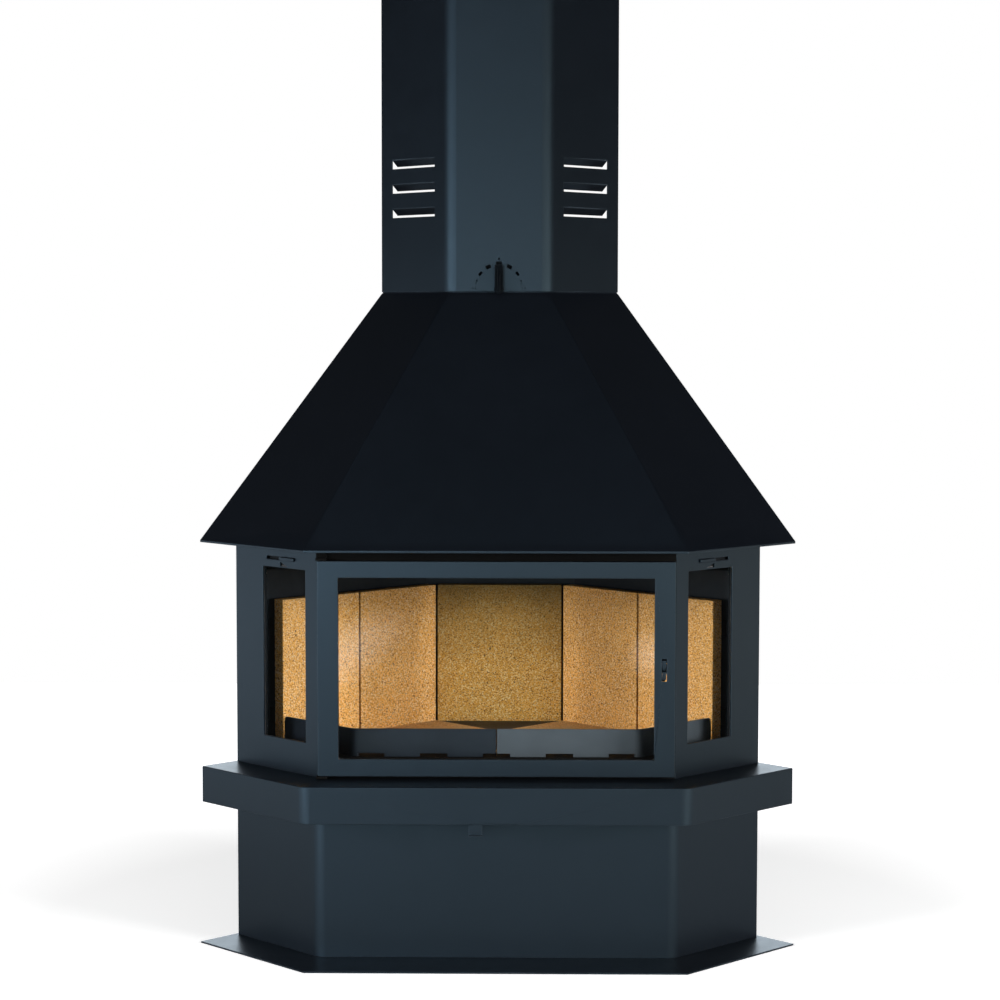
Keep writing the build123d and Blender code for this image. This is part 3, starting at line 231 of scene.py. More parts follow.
class Net:
    """A node tree with short calls for adding and joining its nodes."""
    corner, spacing, row_length = (-2400, 500), (190, 330), 12

    def __init__(self, tree):
        self.tree = tree
        self.count = 0

    def add(self, kind, sockets=(), **settings):
        node = self.tree.nodes.new(kind)
        row, column = divmod(self.count, self.row_length)
        node.location = (self.corner[0] + self.spacing[0] * column, self.corner[1] - self.spacing[1] * row)
        self.count += 1
        for key, value in settings.items():
            setattr(node, key, value)
        for key, value in dict(sockets).items():
            self.put(node.inputs[key], value)
        return node

    def put(self, socket, value):
        if isinstance(value, bpy.types.NodeSocket):
            self.tree.links.new(value, socket)
        else:
            socket.default_value = value

    def calc(self, operation, a, b=0.0, clamp=False):
        return self.add("ShaderNodeMath", {0: a, 1: b}, operation=operation, use_clamp=clamp).outputs[0]

    def blend(self, share, low, high):
        return self.add("ShaderNodeMix", {0: share, 6: low, 7: high}, data_type="RGBA").outputs[2]

    def lay(self, colour, where, share, over):
        """The colour with another over it where an effect shows, by a share."""
        return self.blend(self.calc("MULTIPLY", where, share), colour, over)

    def spread(self, value, low, high, to_low=0.0, to_high=1.0):
        node = self.add("ShaderNodeMapRange", {0: value, 1: low, 2: high, 3: to_low, 4: to_high})
        return node.outputs[0]

    def noise(self, place, size, detail=3.0, roughness=0.55):
        scale = self.calc("DIVIDE", 1.0, size) if isinstance(size, bpy.types.NodeSocket) else 1.0 / size
        return self.add("ShaderNodeTexNoise", {"Vector": place, "Scale": scale, "Detail": detail,
                                               "Roughness": roughness}).outputs["Fac"]

    def effect(self, name, **sockets):
        node = self.add("ShaderNodeGroup", node_tree=bpy.data.node_groups[name])
        for key, value in sockets.items():
            self.put(node.inputs[key.replace("_", " ")], value)
        return node.outputs

    def bump(self, height, strength, distance, normal=None):
        node = self.add("ShaderNodeBump", {"Strength": strength, "Distance": distance, "Height": height})
        if normal is not None:
            self.put(node.inputs["Normal"], normal)
        return node.outputs["Normal"]

    def place(self):
        return self.add("ShaderNodeTexCoord").outputs["Object"]


def new_effect(name, inputs, outputs):
    """A shared node group with named sockets, its net, its inputs and its output node."""
    group = bpy.data.node_groups.new(name, "ShaderNodeTree")
    for label, (kind, value) in inputs.items():
        socket = group.interface.new_socket(name=label, in_out="INPUT", socket_type="NodeSocket" + kind)
        if value is not None:
            socket.default_value = value
    for label, kind in outputs.items():
        group.interface.new_socket(name=label, in_out="OUTPUT", socket_type="NodeSocket" + kind)
    net = Net(group)
    return net, net.add("NodeGroupInput").outputs, net.add("NodeGroupOutput").inputs


def make_effects():
    net, given, out = new_effect("Mottle", {"Place": ("Vector", None), "Size": ("Float", 0.1)},
                                 {"Tone": "Float"})
    net.put(out["Tone"], net.spread(net.noise(given["Place"], given["Size"], 5.0), 0.32, 0.68))

    net, given, out = new_effect("Grain", {"Place": ("Vector", None), "Size": ("Float", 0.001)},
                                 {"Height": "Float"})
    net.put(out["Height"], net.noise(given["Place"], given["Size"], 2.0, 0.7))

    # Edges: lighter where worn and as a painted highlight, and rounded in their normal
    net, given, out = new_effect("Edge wear and highlight", {"Place": ("Vector", None), "Radius": ("Float", 0.002),
                                               "Patch Size": ("Float", 0.05)},
                                 {"Wear and highlight": "Float", "Normal": "Vector"})
    rounded = net.add("ShaderNodeBevel", {"Radius": given["Radius"]}, samples=4).outputs[0]
    flat = net.add("ShaderNodeNewGeometry").outputs["Normal"]
    facing = net.add("ShaderNodeVectorMath", {0: rounded, 1: flat}, operation="DOT_PRODUCT").outputs["Value"]
    patch = net.spread(net.noise(given["Place"], given["Patch Size"]), 0.35, 0.65)
    net.put(out["Wear and highlight"], net.calc("MULTIPLY", net.spread(facing, 0.99, 0.80), patch))
    net.put(out["Normal"], rounded)

    net, given, out = new_effect("Settled dust", {"Place": ("Vector", None), "Patch Size": ("Float", 0.06)},
                                 {"Dust": "Float"})
    flat = net.add("ShaderNodeNewGeometry").outputs["Normal"]
    up = net.add("ShaderNodeSeparateXYZ", {0: flat}).outputs["Z"]
    patch = net.spread(net.noise(given["Place"], given["Patch Size"], 5.0, 0.65), 0.30, 0.70, 0.35, 1.0)
    net.put(out["Dust"], net.calc("MULTIPLY", net.spread(up, 0.70, 0.98), patch))

    net, given, out = new_effect("Height shade", {"Place": ("Vector", None), "Low": ("Float", 0.5),
                                                  "High": ("Float", 0.7), "Ragged": ("Float", 0.03)},
                                 {"Shade": "Float"})
    level = net.add("ShaderNodeSeparateXYZ", {0: given["Place"]}).outputs["Z"]
    ragged = net.calc("SUBTRACT", net.noise(given["Place"], 0.09, 4.0), 0.5)
    ragged = net.calc("MULTIPLY", ragged, given["Ragged"])
    net.put(out["Shade"], net.spread(net.calc("ADD", level, ragged), given["Low"], given["High"]))

    net, given, out = new_effect("Flecks", {"Place": ("Vector", None), "Size": ("Float", 0.003),
                                            "Share": ("Float", 0.4)}, {"Fleck": "Float"})
    cells = net.add("ShaderNodeTexVoronoi", {"Vector": given["Place"],
                                             "Scale": net.calc("DIVIDE", 1.0, given["Size"])})
    lot = net.add("ShaderNodeSeparateColor", {0: cells.outputs["Color"]}).outputs[0]
    chosen = net.calc("LESS_THAN", lot, given["Share"])
    core = net.spread(cells.outputs["Distance"], 0.46, 0.26)
    net.put(out["Fleck"], net.calc("MULTIPLY", chosen, core))


def new_finish(name, **constants):
    """A material, its net and its surface shader with the constant sockets set."""
    material = bpy.data.materials.new(name)
    material.use_nodes = True
    shader = material.node_tree.nodes["Principled BSDF"]
    for key, value in constants.items():
        shader.inputs[key.replace("_", " ")].default_value = value
    return material, Net(material.node_tree), shader.inputs


# Finishes

def anthracite_paint(paint):
    material, net, surface = new_finish("anthracite paint", Specular_IOR_Level=0.75,
                                        Specular_Tint=shade(paint.sheen))
    place = net.place()
    tone = net.effect("Mottle", Place=place, Size=0.30)["Tone"]
    cloud = net.effect("Mottle", Place=place, Size=0.035)["Tone"]
    grain = net.effect("Grain", Place=place, Size=paint.grain)["Height"]
    edge = net.effect("Edge wear and highlight", Place=place, Radius=paint.fold, Patch_Size=0.08)
    dust = net.effect("Settled dust", Place=place)["Dust"]
    colour = net.blend(tone, shade(paint.colour, 0.90), shade(paint.colour, 1.10))
    # Painted highlight: the edges are lightened in the paint's cool tint, as if they caught the light
    colour = net.lay(colour, edge["Wear and highlight"], 0.55, (0.085, 0.11, 0.14, 1))
    colour = net.lay(colour, dust, 0.015, (0.16, 0.15, 0.14, 1))
    net.put(surface["Base Color"], colour)
    rough = net.calc("ADD", net.spread(cloud, 0, 1, 0.355, 0.385), net.spread(grain, 0.3, 0.7, -0.02, 0.02))
    net.put(surface["Roughness"], rough)
    net.put(surface["Normal"], net.bump(grain, 0.10, 0.0004, edge["Normal"]))
    return material


def black_steel(name, colour, rough, soot, grit, level):
    material, net, surface = new_finish(name, Specular_IOR_Level=level, Specular_Tint=STEEL_SHEEN)
    place = net.place()
    tone = net.effect("Mottle", Place=place, Size=0.12)["Tone"]
    cloud = net.effect("Mottle", Place=place, Size=0.018)["Tone"]
    grain = net.effect("Grain", Place=place, Size=0.0013)["Height"]
    edge = net.effect("Edge wear and highlight", Place=place, Radius=0.0016, Patch_Size=0.04)
    dust = net.effect("Settled dust", Place=place, Patch_Size=0.04)["Dust"]
    base = net.blend(tone, shade(colour, 0.78), shade(colour, 1.22))
    base = net.lay(base, cloud, soot, (0.006, 0.0055, 0.005, 1))
    # Edges lightened: partly wear, partly a painted highlight
    base = net.lay(base, edge["Wear and highlight"], 0.4 * (1 - soot), (0.12, 0.13, 0.14, 1))
    base = net.lay(base, dust, 0.06 * (1 - soot), (0.15, 0.13, 0.11, 1))
    net.put(surface["Base Color"], base)
    net.put(surface["Roughness"], net.spread(cloud, 0, 1, rough - 0.05, rough + 0.09))
    net.put(surface["Normal"], net.bump(grain, grit, 0.0005, edge["Normal"]))
    return material


def fire_board(name, boards, ash=0.0, top_shade=0.0, tint=(1.0, 1.0, 1.0)):
    """Speckled board; where ash is given, ashy on top with a painted shadow behind the guards; painted shade
    towards its top.
    """
    material, net, surface = new_finish(name, Specular_IOR_Level=0.15)
    place = net.place()
    tone = net.effect("Mottle", Place=place, Size=0.10)["Tone"]
    patch = net.effect("Mottle", Place=place, Size=0.010)["Tone"]
    sand = net.effect("Grain", Place=place, Size=0.0028)["Height"]
    moved = net.add("ShaderNodeVectorMath", {0: place, 1: (0.37, 0.61, 0.23)}, operation="ADD").outputs[0]
    salt = net.effect("Grain", Place=moved, Size=0.0030)["Height"]
    dark = net.effect("Flecks", Place=place, Size=boards.grain, Share=0.30)["Fleck"]
    pale = net.effect("Flecks", Place=moved, Size=boards.grain * 0.75, Share=0.22)["Fleck"]
    chip = net.effect("Flecks", Place=moved, Size=boards.grain * 1.8, Share=0.02)["Fleck"]
    colour = net.blend(tone, shade(boards.colour, 0.86), shade(boards.colour, 1.12))
    colour = net.lay(colour, patch, 0.30, shade(boards.colour, 1.30))
    colour = net.blend(net.spread(sand, 0.52, 0.62, 0.0, 0.85), colour, shade(boards.dark_grain, 1.2))
    colour = net.blend(net.spread(salt, 0.54, 0.63, 0.0, 0.85), colour, shade(boards.pale_grain, 1.1))
    colour = net.lay(colour, pale, 0.80, shade(boards.pale_grain, 1.2))
    colour = net.lay(colour, dark, 0.85, shade(boards.dark_grain, 0.8))
    colour = net.lay(colour, chip, 0.80, shade(boards.dark_grain, 0.5))
    # Painted shade: the boards darken towards their top, where the baffle and the door's top rail shade them
    top_shade_mask = net.effect("Height shade", Place=place, Low=TOP_SHADE_Z[0], High=TOP_SHADE_Z[1], Ragged=0.05)["Shade"]
    colour = net.lay(colour, top_shade_mask, top_shade, (0.09, 0.06, 0.02, 1))
    colour = net.add("ShaderNodeMix", {0: 1.0, 6: colour, 7: shade(tint)}, data_type="RGBA",
                     blend_type="MULTIPLY").outputs[2]
    if ash:
        dust = net.effect("Settled dust", Place=place, Patch_Size=0.03)["Dust"]
        colour = net.lay(colour, dust, ash, (0.62, 0.50, 0.30, 1))
        # Painted shadow: the floor boards turn black in a strip just behind the log guards, which shade it
        depth = net.add("ShaderNodeSeparateXYZ", {0: place}).outputs["Y"]
        colour = net.blend(net.spread(depth, *GUARD_SHADOW_Y), colour, (0.006, 0.005, 0.004, 1))
    net.put(surface["Base Color"], colour)
    net.put(surface["Roughness"], net.spread(sand, 0.3, 0.7, 0.80, 0.94))
    pits = net.calc("SUBTRACT", net.calc("SUBTRACT", salt, sand), net.calc("MULTIPLY", dark, 0.8))
    net.put(surface["Normal"], net.bump(pits, 0.30, 0.0006))
    return material


def cast_iron():
    material, net, surface = new_finish("raw cast iron", Specular_IOR_Level=0.4)
    place = net.place()
    tone = net.effect("Mottle", Place=place, Size=0.05)["Tone"]
    sand = net.effect("Grain", Place=place, Size=0.0022)["Height"]
    edge = net.effect("Edge wear and highlight", Place=place, Radius=0.002, Patch_Size=0.03)
    dust = net.effect("Settled dust", Place=place, Patch_Size=0.02)["Dust"]
    colour = net.blend(tone, (0.008, 0.0078, 0.008, 1), (0.018, 0.016, 0.015, 1))
    # Edges lightened: partly wear, partly a painted highlight
    colour = net.lay(colour, edge["Wear and highlight"], 0.3, (0.06, 0.06, 0.06, 1))
    colour = net.lay(colour, dust, 0.08, (0.20, 0.17, 0.14, 1))
    net.put(surface["Base Color"], colour)
    net.put(surface["Roughness"], net.spread(tone, 0, 1, 0.55, 0.72))
    net.put(surface["Normal"], net.bump(sand, 0.5, 0.0008, edge["Normal"]))
    return material


def glass_ceramic():
    material, net, surface = new_finish("glass ceramic", Transmission_Weight=1.0, IOR=1.5)
    place = net.place()
    haze = net.effect("Mottle", Place=place, Size=0.07)["Tone"]
    low = net.effect("Height shade", Place=place, Low=FILM_Z[0], High=FILM_Z[1], Ragged=0.03)["Shade"]
    film = net.calc("MULTIPLY", haze, low)
    net.put(surface["Base Color"], net.blend(film, (0.975, 0.985, 0.98, 1), (0.93, 0.92, 0.90, 1)))
    net.put(surface["Roughness"], net.spread(film, 0, 1, 0.0, 0.03))
    return material


def zinc_steel():
    material, net, surface = new_finish("zinc-plated steel", Metallic=1.0)
    place = net.place()
    tone = net.effect("Mottle", Place=place, Size=0.006)["Tone"]
    grain = net.effect("Grain", Place=place, Size=0.0006)["Height"]
    edge = net.effect("Edge wear and highlight", Place=place, Radius=0.0006, Patch_Size=0.01)
    net.put(surface["Base Color"], net.blend(tone, (0.33, 0.33, 0.34, 1), (0.52, 0.52, 0.51, 1)))
    net.put(surface["Roughness"], net.spread(tone, 0, 1, 0.34, 0.48))
    net.put(surface["Normal"], net.bump(grain, 0.12, 0.0002, edge["Normal"]))
    return material


def glass_yarn(seals):
    material, net, surface = new_finish("glass yarn", Specular_IOR_Level=0.3)
    place = net.place()
    tone = net.effect("Mottle", Place=place, Size=0.008)["Tone"]
    fibre = net.effect("Grain", Place=place, Size=0.0004)["Height"]
    colour = net.blend(tone, shade(seals.colour, 0.7), shade(seals.colour, 1.4))
    colour = net.blend(net.spread(fibre, 0.5, 0.75, 0.0, 0.35), colour, shade(seals.colour, 4.0))
    net.put(surface["Base Color"], colour)
    net.put(surface["Roughness"], net.spread(fibre, 0.3, 0.7, 0.68, 0.86))
    net.put(surface["Normal"], net.bump(fibre, 0.4, 0.0003))
    return material


def coat(names, material):
    for name in names:
        nodes[name].data.materials.clear()
        nodes[name].data.materials.append(material)


def dress(names, material, easing):
    """Give CAD nodes their finish and ease their edges."""
    coat(names, material)
    for name in names:
        node = nodes[name]
        weld = node.modifiers.new("Join", "WELD")
        weld.merge_threshold = WELD_REACH
        bevel = node.modifiers.new("Ease", "BEVEL")
        bevel.width = easing
        bevel.segments = 2
        bevel.limit_method = "ANGLE"
        bevel.angle_limit = EDGE_ANGLE
        bevel.use_clamp_overlap = False
        bevel.miter_outer = "MITER_ARC"
        node.modifiers.new("Shade", "WEIGHTED_NORMAL").weight = 60


def with_finish(slot, leave=()):
    return [name for name in nodes if finish_of[name] == slot and name not in leave]


# Woven seals

def loop(half_u, half_v, bend, count):
    """Even points, each with its outward direction, round a rounded rectangle; and the length round it."""
    made = []
    runs = (half_v - bend, half_u - bend)
    arc = bend * pi / 2
    total = 4 * (runs[0] + runs[1]) + 4 * arc
    for i in range(count):
        way = total * i / count
        quarter = 0
        while way > 2 * runs[quarter % 2] + arc and quarter < 3:
            way -= 2 * runs[quarter % 2] + arc
            quarter += 1
        run = runs[quarter % 2]
        reach = half_u if quarter % 2 == 0 else half_v
        out = Vector((round(cos(quarter * pi / 2)), round(sin(quarter * pi / 2))))
        along = Vector((-out.y, out.x))
        if way < 2 * run:
            made.append((out * reach + along * (way - run), out))
        else:
            turn = (way - 2 * run) / bend
            facing = out * cos(turn) + along * sin(turn)
            made.append((out * (reach - bend) + along * run + facing * bend, facing))
    return made, total


def closed_tubes(name, tubes):
    """One mesh of closed tubes, each a closed row of closed rings."""
    verts, faces = [], []
    for rings in tubes:
        start, around, count = len(verts), len(rings[0]), len(rings)
        for ring in rings:
            verts.extend(ring)
        for i in range(count):
            here, there = start + i * around, start + (i + 1) % count * around
            for k in range(around):
                step = (k + 1) % around
                faces.append((here + k, here + step, there + step, there + k))
    mesh = bpy.data.meshes.new(name)
    mesh.from_pydata(verts, [], faces)
    mesh.polygons.foreach_set("use_smooth", [True] * len(faces))
    mesh.validate()
    piece = bpy.data.objects.new(name, mesh)
    bpy.context.scene.collection.objects.link(piece)
    return piece


def rope_tubes(seals):
    """The yarns of a rope that is plaited over a core and laid round the door."""
    low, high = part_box("door_rope_gasket")
    middle = (low + high) / 2
    wide, deep = seals.rope_width / 2, (high.y - low.y) / 2
    half_u, half_v = (high.x - low.x) / 2 - wide, (high.z - low.z) / 2 - wide
    _, total = loop(half_u, half_v, ROPE_BEND, 1)
    turns = round(total / seals.rope_turn)
    count = turns * seals.yarns * 4
    path, _ = loop(half_u, half_v, ROPE_BEND, count)
    girth = pi * (wide + deep)

    def at(point, out, across, back):
        spot = point + out * across
        return Vector((middle.x + spot.x, middle.y + back, middle.z + spot.y))

    tubes = []
    for way in (1, -1):
        for yarn in range(seals.yarns):
            rings = []
            for i, (point, out) in enumerate(path):
                lay = 2 * pi * turns * i / count
                angle = way * lay + 2 * pi * yarn / seals.yarns
                lift = YARN_LEVEL + YARN_SWING * way * cos(seals.yarns * lay)
                side = Vector((-wide * sin(angle), deep * cos(angle)))
                side *= girth / seals.yarns * YARN_SPREAD / side.length
                up = Vector((side.y, -side.x)) * (YARN_THICKNESS / side.length)
                spot = Vector((wide * cos(angle), deep * sin(angle))) * lift
                ring = []
                for a, b in YARN_SECTION:
                    place = spot + side * a + up * b
                    ring.append(at(point, out, place.x, place.y))
                rings.append(ring)
            tubes.append(rings)
    core = []
    for point, out in path[::CORE_STEP]:
        core.append([at(point, out, CORE_SHARE * wide * cos(angle), CORE_SHARE * deep * sin(angle))
                     for angle in CORE_ANGLES])
    tubes.append(core)
    return tubes


def tape_rings(half_u, half_v, width, thick, thread, at):
    """The rings of a woven tape laid flat round a window; at() places a point of its plane."""
    bend = width / 2 + TAPE_BEND
    _, total = loop(half_u, half_v, bend, 1)
    count = 4 * round(total / thread / 2)
    path, _ = loop(half_u, half_v, bend, count)
    lanes = max(4, 2 * round(width / thread))
    rings = []
    for i, (point, out) in enumerate(path):
        face, rear = [], []
        for k in range(lanes + 1):
            across = (k / lanes - 0.5) * width
            over = cos(pi * i / 2) * cos(pi * k / 2) * TAPE_SWING * thick
            share = TAPE_EDGE if k in (0, lanes) else TAPE_MIDDLE
            spot = point + out * across
            face.append(at(spot.x, spot.y, thick / 2 * share + over))
            rear.append(at(spot.x, spot.y, -thick / 2 * share + over))
        rings.append(face + rear[::-1])
    return rings


def finish_piece(piece, body, slot, material, *replaced):
    piece.data.materials.append(material)
    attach(piece, body)
    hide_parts(*replaced)


# Operators, one for each group of like pieces

class PaintSheets(bpy.types.Operator):
    """Paint the outer sheets and ease their edges"""
    bl_idname = "fireplace.paint_sheets"
    bl_label = "Paint the outer sheets"

    def execute(self, context):
        paint = context.scene.fireplace_paint
        coated = anthracite_paint(paint)
        dress(with_finish("anthracite_paint", LEVER + UNEASED), coated, paint.easing)
        coat(UNEASED, coated)
        return {"FINISHED"}


class BlackenSteel(bpy.types.Operator):
    """Blacken the bare steel: inside, sooted, shade-black in the gaps round the door, behind the covers, the
    log guards and the lever
    """
    bl_idname = "fireplace.blacken_steel"
    bl_label = "Blacken the bare steel"

    def execute(self, context):
        apart = sum(STEEL_PIECES.values(), ())
        for name, (*look, easing) in STEELS.items():
            pieces = STEEL_PIECES.get(name) or with_finish("dark_steel", apart)
            dress(pieces, black_steel(name, *look), easing)
        return {"FINISHED"}


class LayBoards(bpy.types.Operator):
    """Give the wall and floor boards their speckled ochre"""
    bl_idname = "fireplace.lay_boards"
    bl_label = "Lay the fire boards"

    def execute(self, context):
        boards = context.scene.fireplace_boards
        walls = with_finish("fire_brick", FLOOR_BOARDS + BACK_BOARD)
        # Painted shade: the back board is a darker, greener copy with more shade at its top, as it gets less
        # light
        rear = fire_board("shaded rear fire board", boards, top_shade=0.95, tint=(0.88, 0.92, 0.76))
        dress(walls, fire_board("fire board", boards, top_shade=0.25), boards.easing)
        dress(BACK_BOARD, rear, boards.easing)
        dress(FLOOR_BOARDS, fire_board("floor fire board", boards, ash=0.60), boards.easing)
        return {"FINISHED"}


class CastGrate(bpy.types.Operator):
    """Give the grate its cast iron"""
    bl_idname = "fireplace.cast_grate"
    bl_label = "Cast the grate"

    def execute(self, context):
        dress(with_finish("cast_iron"), cast_iron(), GRATE_EASING)
        return {"FINISHED"}


class FitGlass(bpy.types.Operator):
    """Make the door pane and the side panes of clear glass ceramic"""
    bl_idname = "fireplace.fit_glass"
    bl_label = "Fit the glass"

    def execute(self, context):
        panes = with_finish("glass")
        coat(panes, glass_ceramic())
        for name in panes:
            nodes[name].visible_shadow = False
        return {"FINISHED"}


class PlateFittings(bpy.types.Operator):
    """Plate the screws, the pin, the shaft and its bushes"""
    bl_idname = "fireplace.plate_fittings"
    bl_label = "Plate the fittings"

    def execute(self, context):
        dress(with_finish("bright_steel"), zinc_steel(), FITTING_EASING)
        return {"FINISHED"}


class PlaitSeals(bpy.types.Operator):
    """Plait the door's rope and weave the tapes that bed the panes"""
    bl_idname = "fireplace.plait_seals"
    bl_label = "Plait and weave the seals"

    def execute(self, context):
        seals = context.scene.fireplace_seals
        yarn = glass_yarn(seals)
        finish_piece(closed_tubes("door_rope", rope_tubes(seals)), "door", "rope", yarn, "door_rope_gasket")

        low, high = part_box("door_glass_tape")
        middle = (low + high) / 2
        half_u, half_v = (high.x - low.x - DOOR_TAPE_W) / 2, (high.z - low.z - DOOR_TAPE_W) / 2
        tape = tape_rings(half_u, half_v, DOOR_TAPE_W, high.y - low.y, seals.thread,
                          lambda u, v, d: Vector((middle.x + u, middle.y + d, middle.z + v)))
        finish_piece(closed_tubes("door_tape", [tape]), "door", "rope", yarn, "door_glass_tape")

        half_u = (SIDE_WINDOW[1] - SIDE_WINDOW[0] + SIDE_TAPE_W) / 2
        half_v = (SIDE_WINDOW_Z[1] - SIDE_WINDOW_Z[0] + SIDE_TAPE_W) / 2
        reach, depth = sum(SIDE_WINDOW) / 2, sum(SIDE_TAPE_DEPTH) / 2
        thick = SIDE_TAPE_DEPTH[1] - SIDE_TAPE_DEPTH[0]
        share = 0.5 ** 0.5
        sides = []
        for hand in (1, -1):
            def at(u, v, d, hand=hand):
                x = SIDE_CORNER[0] + (reach + u - depth - d) * share
                y = SIDE_CORNER[1] + (reach + u + depth + d) * share
                return Vector((hand * x, y, sum(SIDE_WINDOW_Z) / 2 + v))
            sides.append(tape_rings(half_u, half_v, SIDE_TAPE_W, thick, seals.thread, at))
        finish_piece(closed_tubes("side_tapes", sides), "root", "rope", yarn, "side_glass_gaskets")
        return {"FINISHED"}


# Studio

def stage_plane(name, corner, edge_a, edge_b, material):
    """A rectangle from one corner and its two edges."""
    corner, edge_a, edge_b = Vector(corner), Vector(edge_a), Vector(edge_b)
    mesh = bpy.data.meshes.new(name)
    mesh.from_pydata([corner, corner + edge_a, corner + edge_a + edge_b, corner + edge_b], [], [(0, 1, 2, 3)])
    plane = bpy.data.objects.new(name, mesh)
    plane.data.materials.append(material)
    bpy.context.scene.collection.objects.link(plane)
    return plane


def bare_net(owner):
    """The emptied node tree of a new material or world."""
    owner.use_nodes = True
    owner.node_tree.nodes.clear()
    return Net(owner.node_tree)


def glow(name, colour, strength):
    material = bpy.data.materials.new(name)
    net = bare_net(material)
    light = net.add("ShaderNodeEmission", {"Color": colour, "Strength": strength})
    net.add("ShaderNodeOutputMaterial", {"Surface": light.outputs[0]})
    return material


def reflected_plane(name, sides, material):
    """A plane of the studio that only reflections show."""
    plane = stage_plane(name, *sides, material)
    plane.visible_camera = False
    plane.visible_diffuse = False
    plane.visible_transmission = False
    plane.visible_shadow = False


def handed(vectors, side):
    return [(side * x, y, z) for x, y, z in vectors]


def hang_cloths():
    """Black cloths on five sides, so that the finishes reflect nothing but the panels."""
    dark = glow("black cloth", CLOTH_COLOUR, 1.0)
    (near, far), (low, high) = CLOTH_Y, CLOTH_Z
    width, depth, height = (2 * CLOTH_X, 0, 0), (0, far - near, 0), (0, 0, high - low)
    corner = (-CLOTH_X, near, low)
    reflected_plane("cloth_front", (corner, width, height), dark)
    reflected_plane("cloth_left", (corner, depth, height), dark)
    reflected_plane("cloth_right", ((CLOTH_X, near, low), depth, height), dark)
    reflected_plane("cloth_top", ((-CLOTH_X, near, high), width, depth), dark)
    reflected_plane("cloth_ground", (corner, width, depth), dark)


def soft_patch(name, centre, reach, turn, strength):
    """A reflected oval that fades out from its middle."""
    material = bpy.data.materials.new(name)
    net = bare_net(material)
    placing = {"Vector": net.place(), "Location": centre, "Rotation": (0, turn, 0),
               "Scale": (reach[0], 1, reach[1])}
    mapped = net.add("ShaderNodeMapping", placing, vector_type="TEXTURE")
    away = net.add("ShaderNodeVectorMath", {0: mapped.outputs[0]}, operation="LENGTH").outputs["Value"]
    light = net.add("ShaderNodeEmission", {"Color": COOL, "Strength": strength})
    both = net.add("ShaderNodeMixShader", {0: net.spread(away, 1.0, 0.1),
                                           1: net.add("ShaderNodeBsdfTransparent").outputs[0],
                                           2: light.outputs[0]})
    net.add("ShaderNodeOutputMaterial", {"Surface": both.outputs[0]})
    half = max(reach)
    corner = (centre[0] - half, centre[1], centre[2] - half)
    reflected_plane(name, (corner, (2 * half, 0, 0), (0, 0, 2 * half)), material)


def shown_straight(net):
    """1 where the camera sees directly or through glass, else 0; and 1 for what a sheen reflects."""
    path = net.add("ShaderNodeLightPath").outputs
    shown = net.calc("ADD", path["Is Camera Ray"], path["Is Transmission Ray"], clamp=True)
    bounces = net.calc("ADD", path["Diffuse Depth"], path["Glossy Depth"])
    reflected = net.calc("GREATER_THAN", path["Glossy Depth"], 0.5)
    return net.calc("MULTIPLY", shown, net.calc("LESS_THAN", bounces, 0.5)), reflected


def floor_finish(studio):
    material = bpy.data.materials.new("studio floor")
    net = bare_net(material)
    shown, reflected = shown_straight(net)
    pale = net.spread(reflected, 0, 1, 1.0, FLOOR_IN_SHEEN)
    matt = net.add("ShaderNodeBsdfDiffuse", {"Color": net.blend(pale, (0, 0, 0, 1), shade(studio.floor))})
    away = net.add("ShaderNodeVectorMath", {0: net.place()}, operation="LENGTH").outputs["Value"]
    lifted = net.calc("MULTIPLY", shown, net.spread(away, *FLOOR_FADE, *FLOOR_LIFT))
    lift = net.add("ShaderNodeEmission", {"Color": (1, 1, 1, 1), "Strength": lifted})
    both = net.add("ShaderNodeAddShader", {0: matt.outputs[0], 1: lift.outputs[0]})
    net.add("ShaderNodeOutputMaterial", {"Surface": both.outputs[0]})
    return material


def studio_world(studio):
    world = bpy.data.worlds.new("studio")
    bpy.context.scene.world = world
    net = bare_net(world)
    shown, reflected = shown_straight(net)
    level = net.spread(reflected, 0, 1, studio.fill, ROOM_IN_SHEEN)
    level = net.spread(shown, 0, 1, level, 1.0)
    back = net.add("ShaderNodeBackground", {"Color": (1, 1, 1, 1), "Strength": level})
    net.add("ShaderNodeOutputWorld", {"Surface": back.outputs[0]})


def soft_lamp(name, place, aim, size, power):
    lamp = bpy.data.lights.new(name, "AREA")
    lamp.shape = "RECTANGLE"
    lamp.size, lamp.size_y = size
    lamp.energy = power
    holder = bpy.data.objects.new(name, lamp)
    holder.location = place
    holder.rotation_euler = (Vector(aim) - Vector(place)).to_track_quat("-Z", "Y").to_euler()
    holder.visible_glossy = False
    holder.visible_transmission = False
    holder.visible_camera = False
    bpy.context.scene.collection.objects.link(holder)


def photo_camera():
    data = bpy.data.cameras.new("camera")
    data.lens = CAMERA_LENS
    data.sensor_width = 36
    data.clip_end = 60
    camera = bpy.data.objects.new("camera", data)
    bpy.context.scene.collection.objects.link(camera)
    ahead = Vector((sin(CAMERA_YAW) * cos(CAMERA_PITCH), cos(CAMERA_YAW) * cos(CAMERA_PITCH),
                    -sin(CAMERA_PITCH)))
    level = Vector((cos(CAMERA_YAW), -sin(CAMERA_YAW), 0))
    down = ahead.cross(level)
    right = level * cos(CAMERA_ROLL) + down * sin(CAMERA_ROLL)
    down = down * cos(CAMERA_ROLL) - level * sin(CAMERA_ROLL)
    turn = Matrix((right, -down, -ahead)).transposed()
    camera.matrix_world = Matrix.Translation(CAMERA_PLACE) @ turn.to_4x4()
    bpy.context.scene.camera = camera


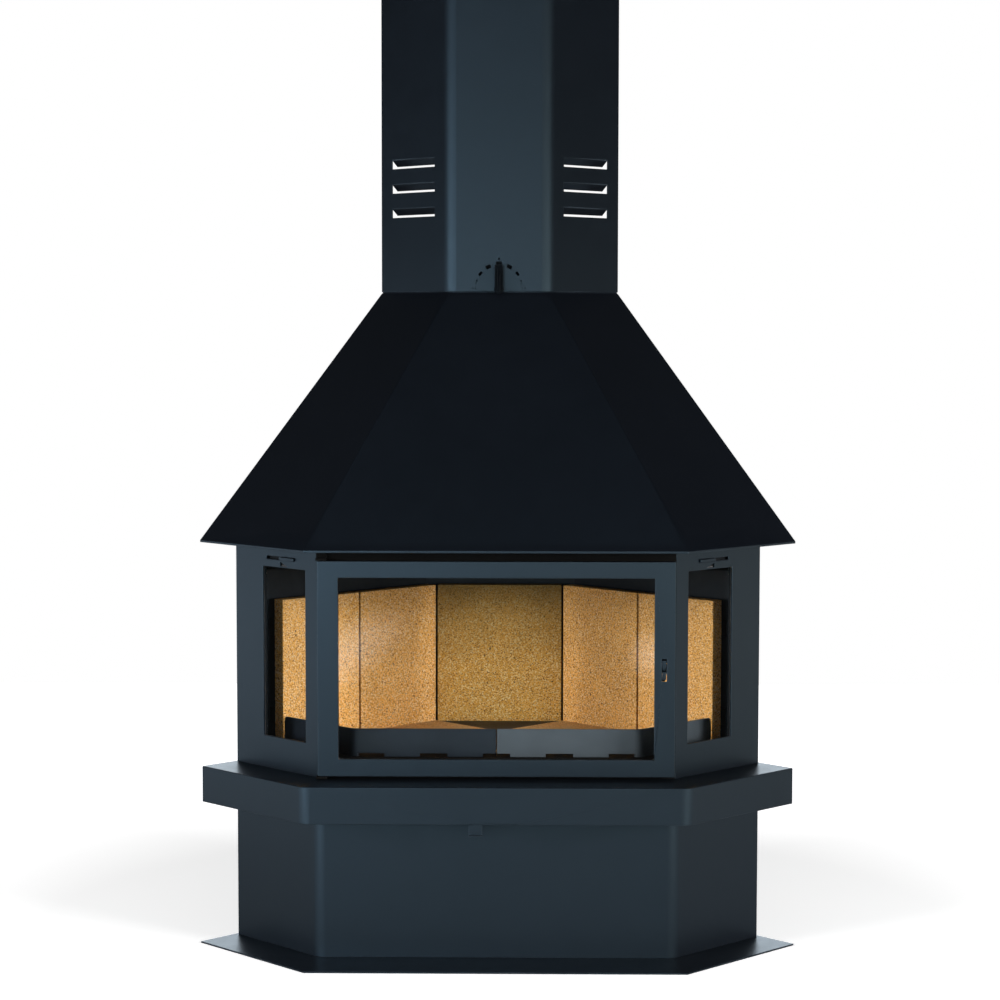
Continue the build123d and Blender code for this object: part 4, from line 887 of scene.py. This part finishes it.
class SetStage(bpy.types.Operator):
    """Set up the floor, the lamps, the panels that the finishes reflect, and the camera"""
    bl_idname = "fireplace.set_stage"
    bl_label = "Set the stage"

    def execute(self, context):
        studio = context.scene.fireplace_studio
        stage_plane("floor", *FLOOR, floor_finish(studio))
        hang_cloths()
        for hand, (side, tint, share, lamp_share) in SIDES.items():
            bright = glow(hand + " panel", tint, studio.panel * share)
            flank = glow(hand + " flank", tint, studio.panel * share * SIDE_SHARE)
            reflected_plane("panel_front_" + hand, handed(FRONT_PANEL, side), bright)
            reflected_plane("panel_corner_" + hand, handed(CORNER_PANEL, side), bright)
            for number, panel in enumerate(SIDE_PANELS, 1):
                reflected_plane("panel_side_%s_%d" % (hand, number), handed(panel, side), flank)
            place = handed([LAMP_PLACE], side)[0]
            soft_lamp("lamp_" + hand, place, LAMP_AIM, LAMP_SIZE, studio.key_power * lamp_share)
        reflected_plane("panel_rear", REAR_PANEL, glow("rear panel", COOL, studio.panel * REAR_SHARE))
        overhead = glow("overhead strip", COOL, studio.panel * OVERHEAD_SHARE)
        reflected_plane("panel_above", OVERHEAD_PANEL, overhead)
        for name, patch in PATCHES.items():
            soft_patch(name, *patch)
        studio_world(studio)
        photo_camera()
        context.scene.view_settings.view_transform = "Standard"
        return {"FINISHED"}


class FireplacePanel(bpy.types.Panel):
    """Lists the fireplace's settings and steps"""
    bl_idname = "VIEW3D_PT_fireplace"
    bl_label = "Corner fireplace"
    bl_space_type = "VIEW_3D"
    bl_region_type = "UI"
    bl_category = "Fireplace"

    def draw(self, context):
        for group in GROUPS:
            settings = getattr(context.scene, group)
            box = self.layout.box()
            box.label(text=settings.bl_rna.description)
            for key in GROUPS[group].__annotations__:
                box.prop(settings, key)
        for step in STEPS:
            self.layout.operator(step.bl_idname)


GROUPS = {"fireplace_paint": FireplacePaint, "fireplace_boards": FireplaceBoards,
          "fireplace_seals": FireplaceSeals, "fireplace_studio": FireplaceStudio}
STEPS = (PaintSheets, BlackenSteel, LayBoards, CastGrate, FitGlass, PlateFittings, PlaitSeals, SetStage)


def register():
    for item in (*GROUPS.values(), *STEPS, FireplacePanel):
        bpy.utils.register_class(item)
    for name, group in GROUPS.items():
        setattr(bpy.types.Scene, name, PointerProperty(type=group))


def unregister():
    for name in GROUPS:
        delattr(bpy.types.Scene, name)
    for item in reversed((*GROUPS.values(), *STEPS, FireplacePanel)):
        bpy.utils.unregister_class(item)


def main():
    register()
    make_effects()
    for step in STEPS:
        area, name = step.bl_idname.split(".")
        getattr(getattr(bpy.ops, area), name)()


if __name__ == "__main__":
    main()
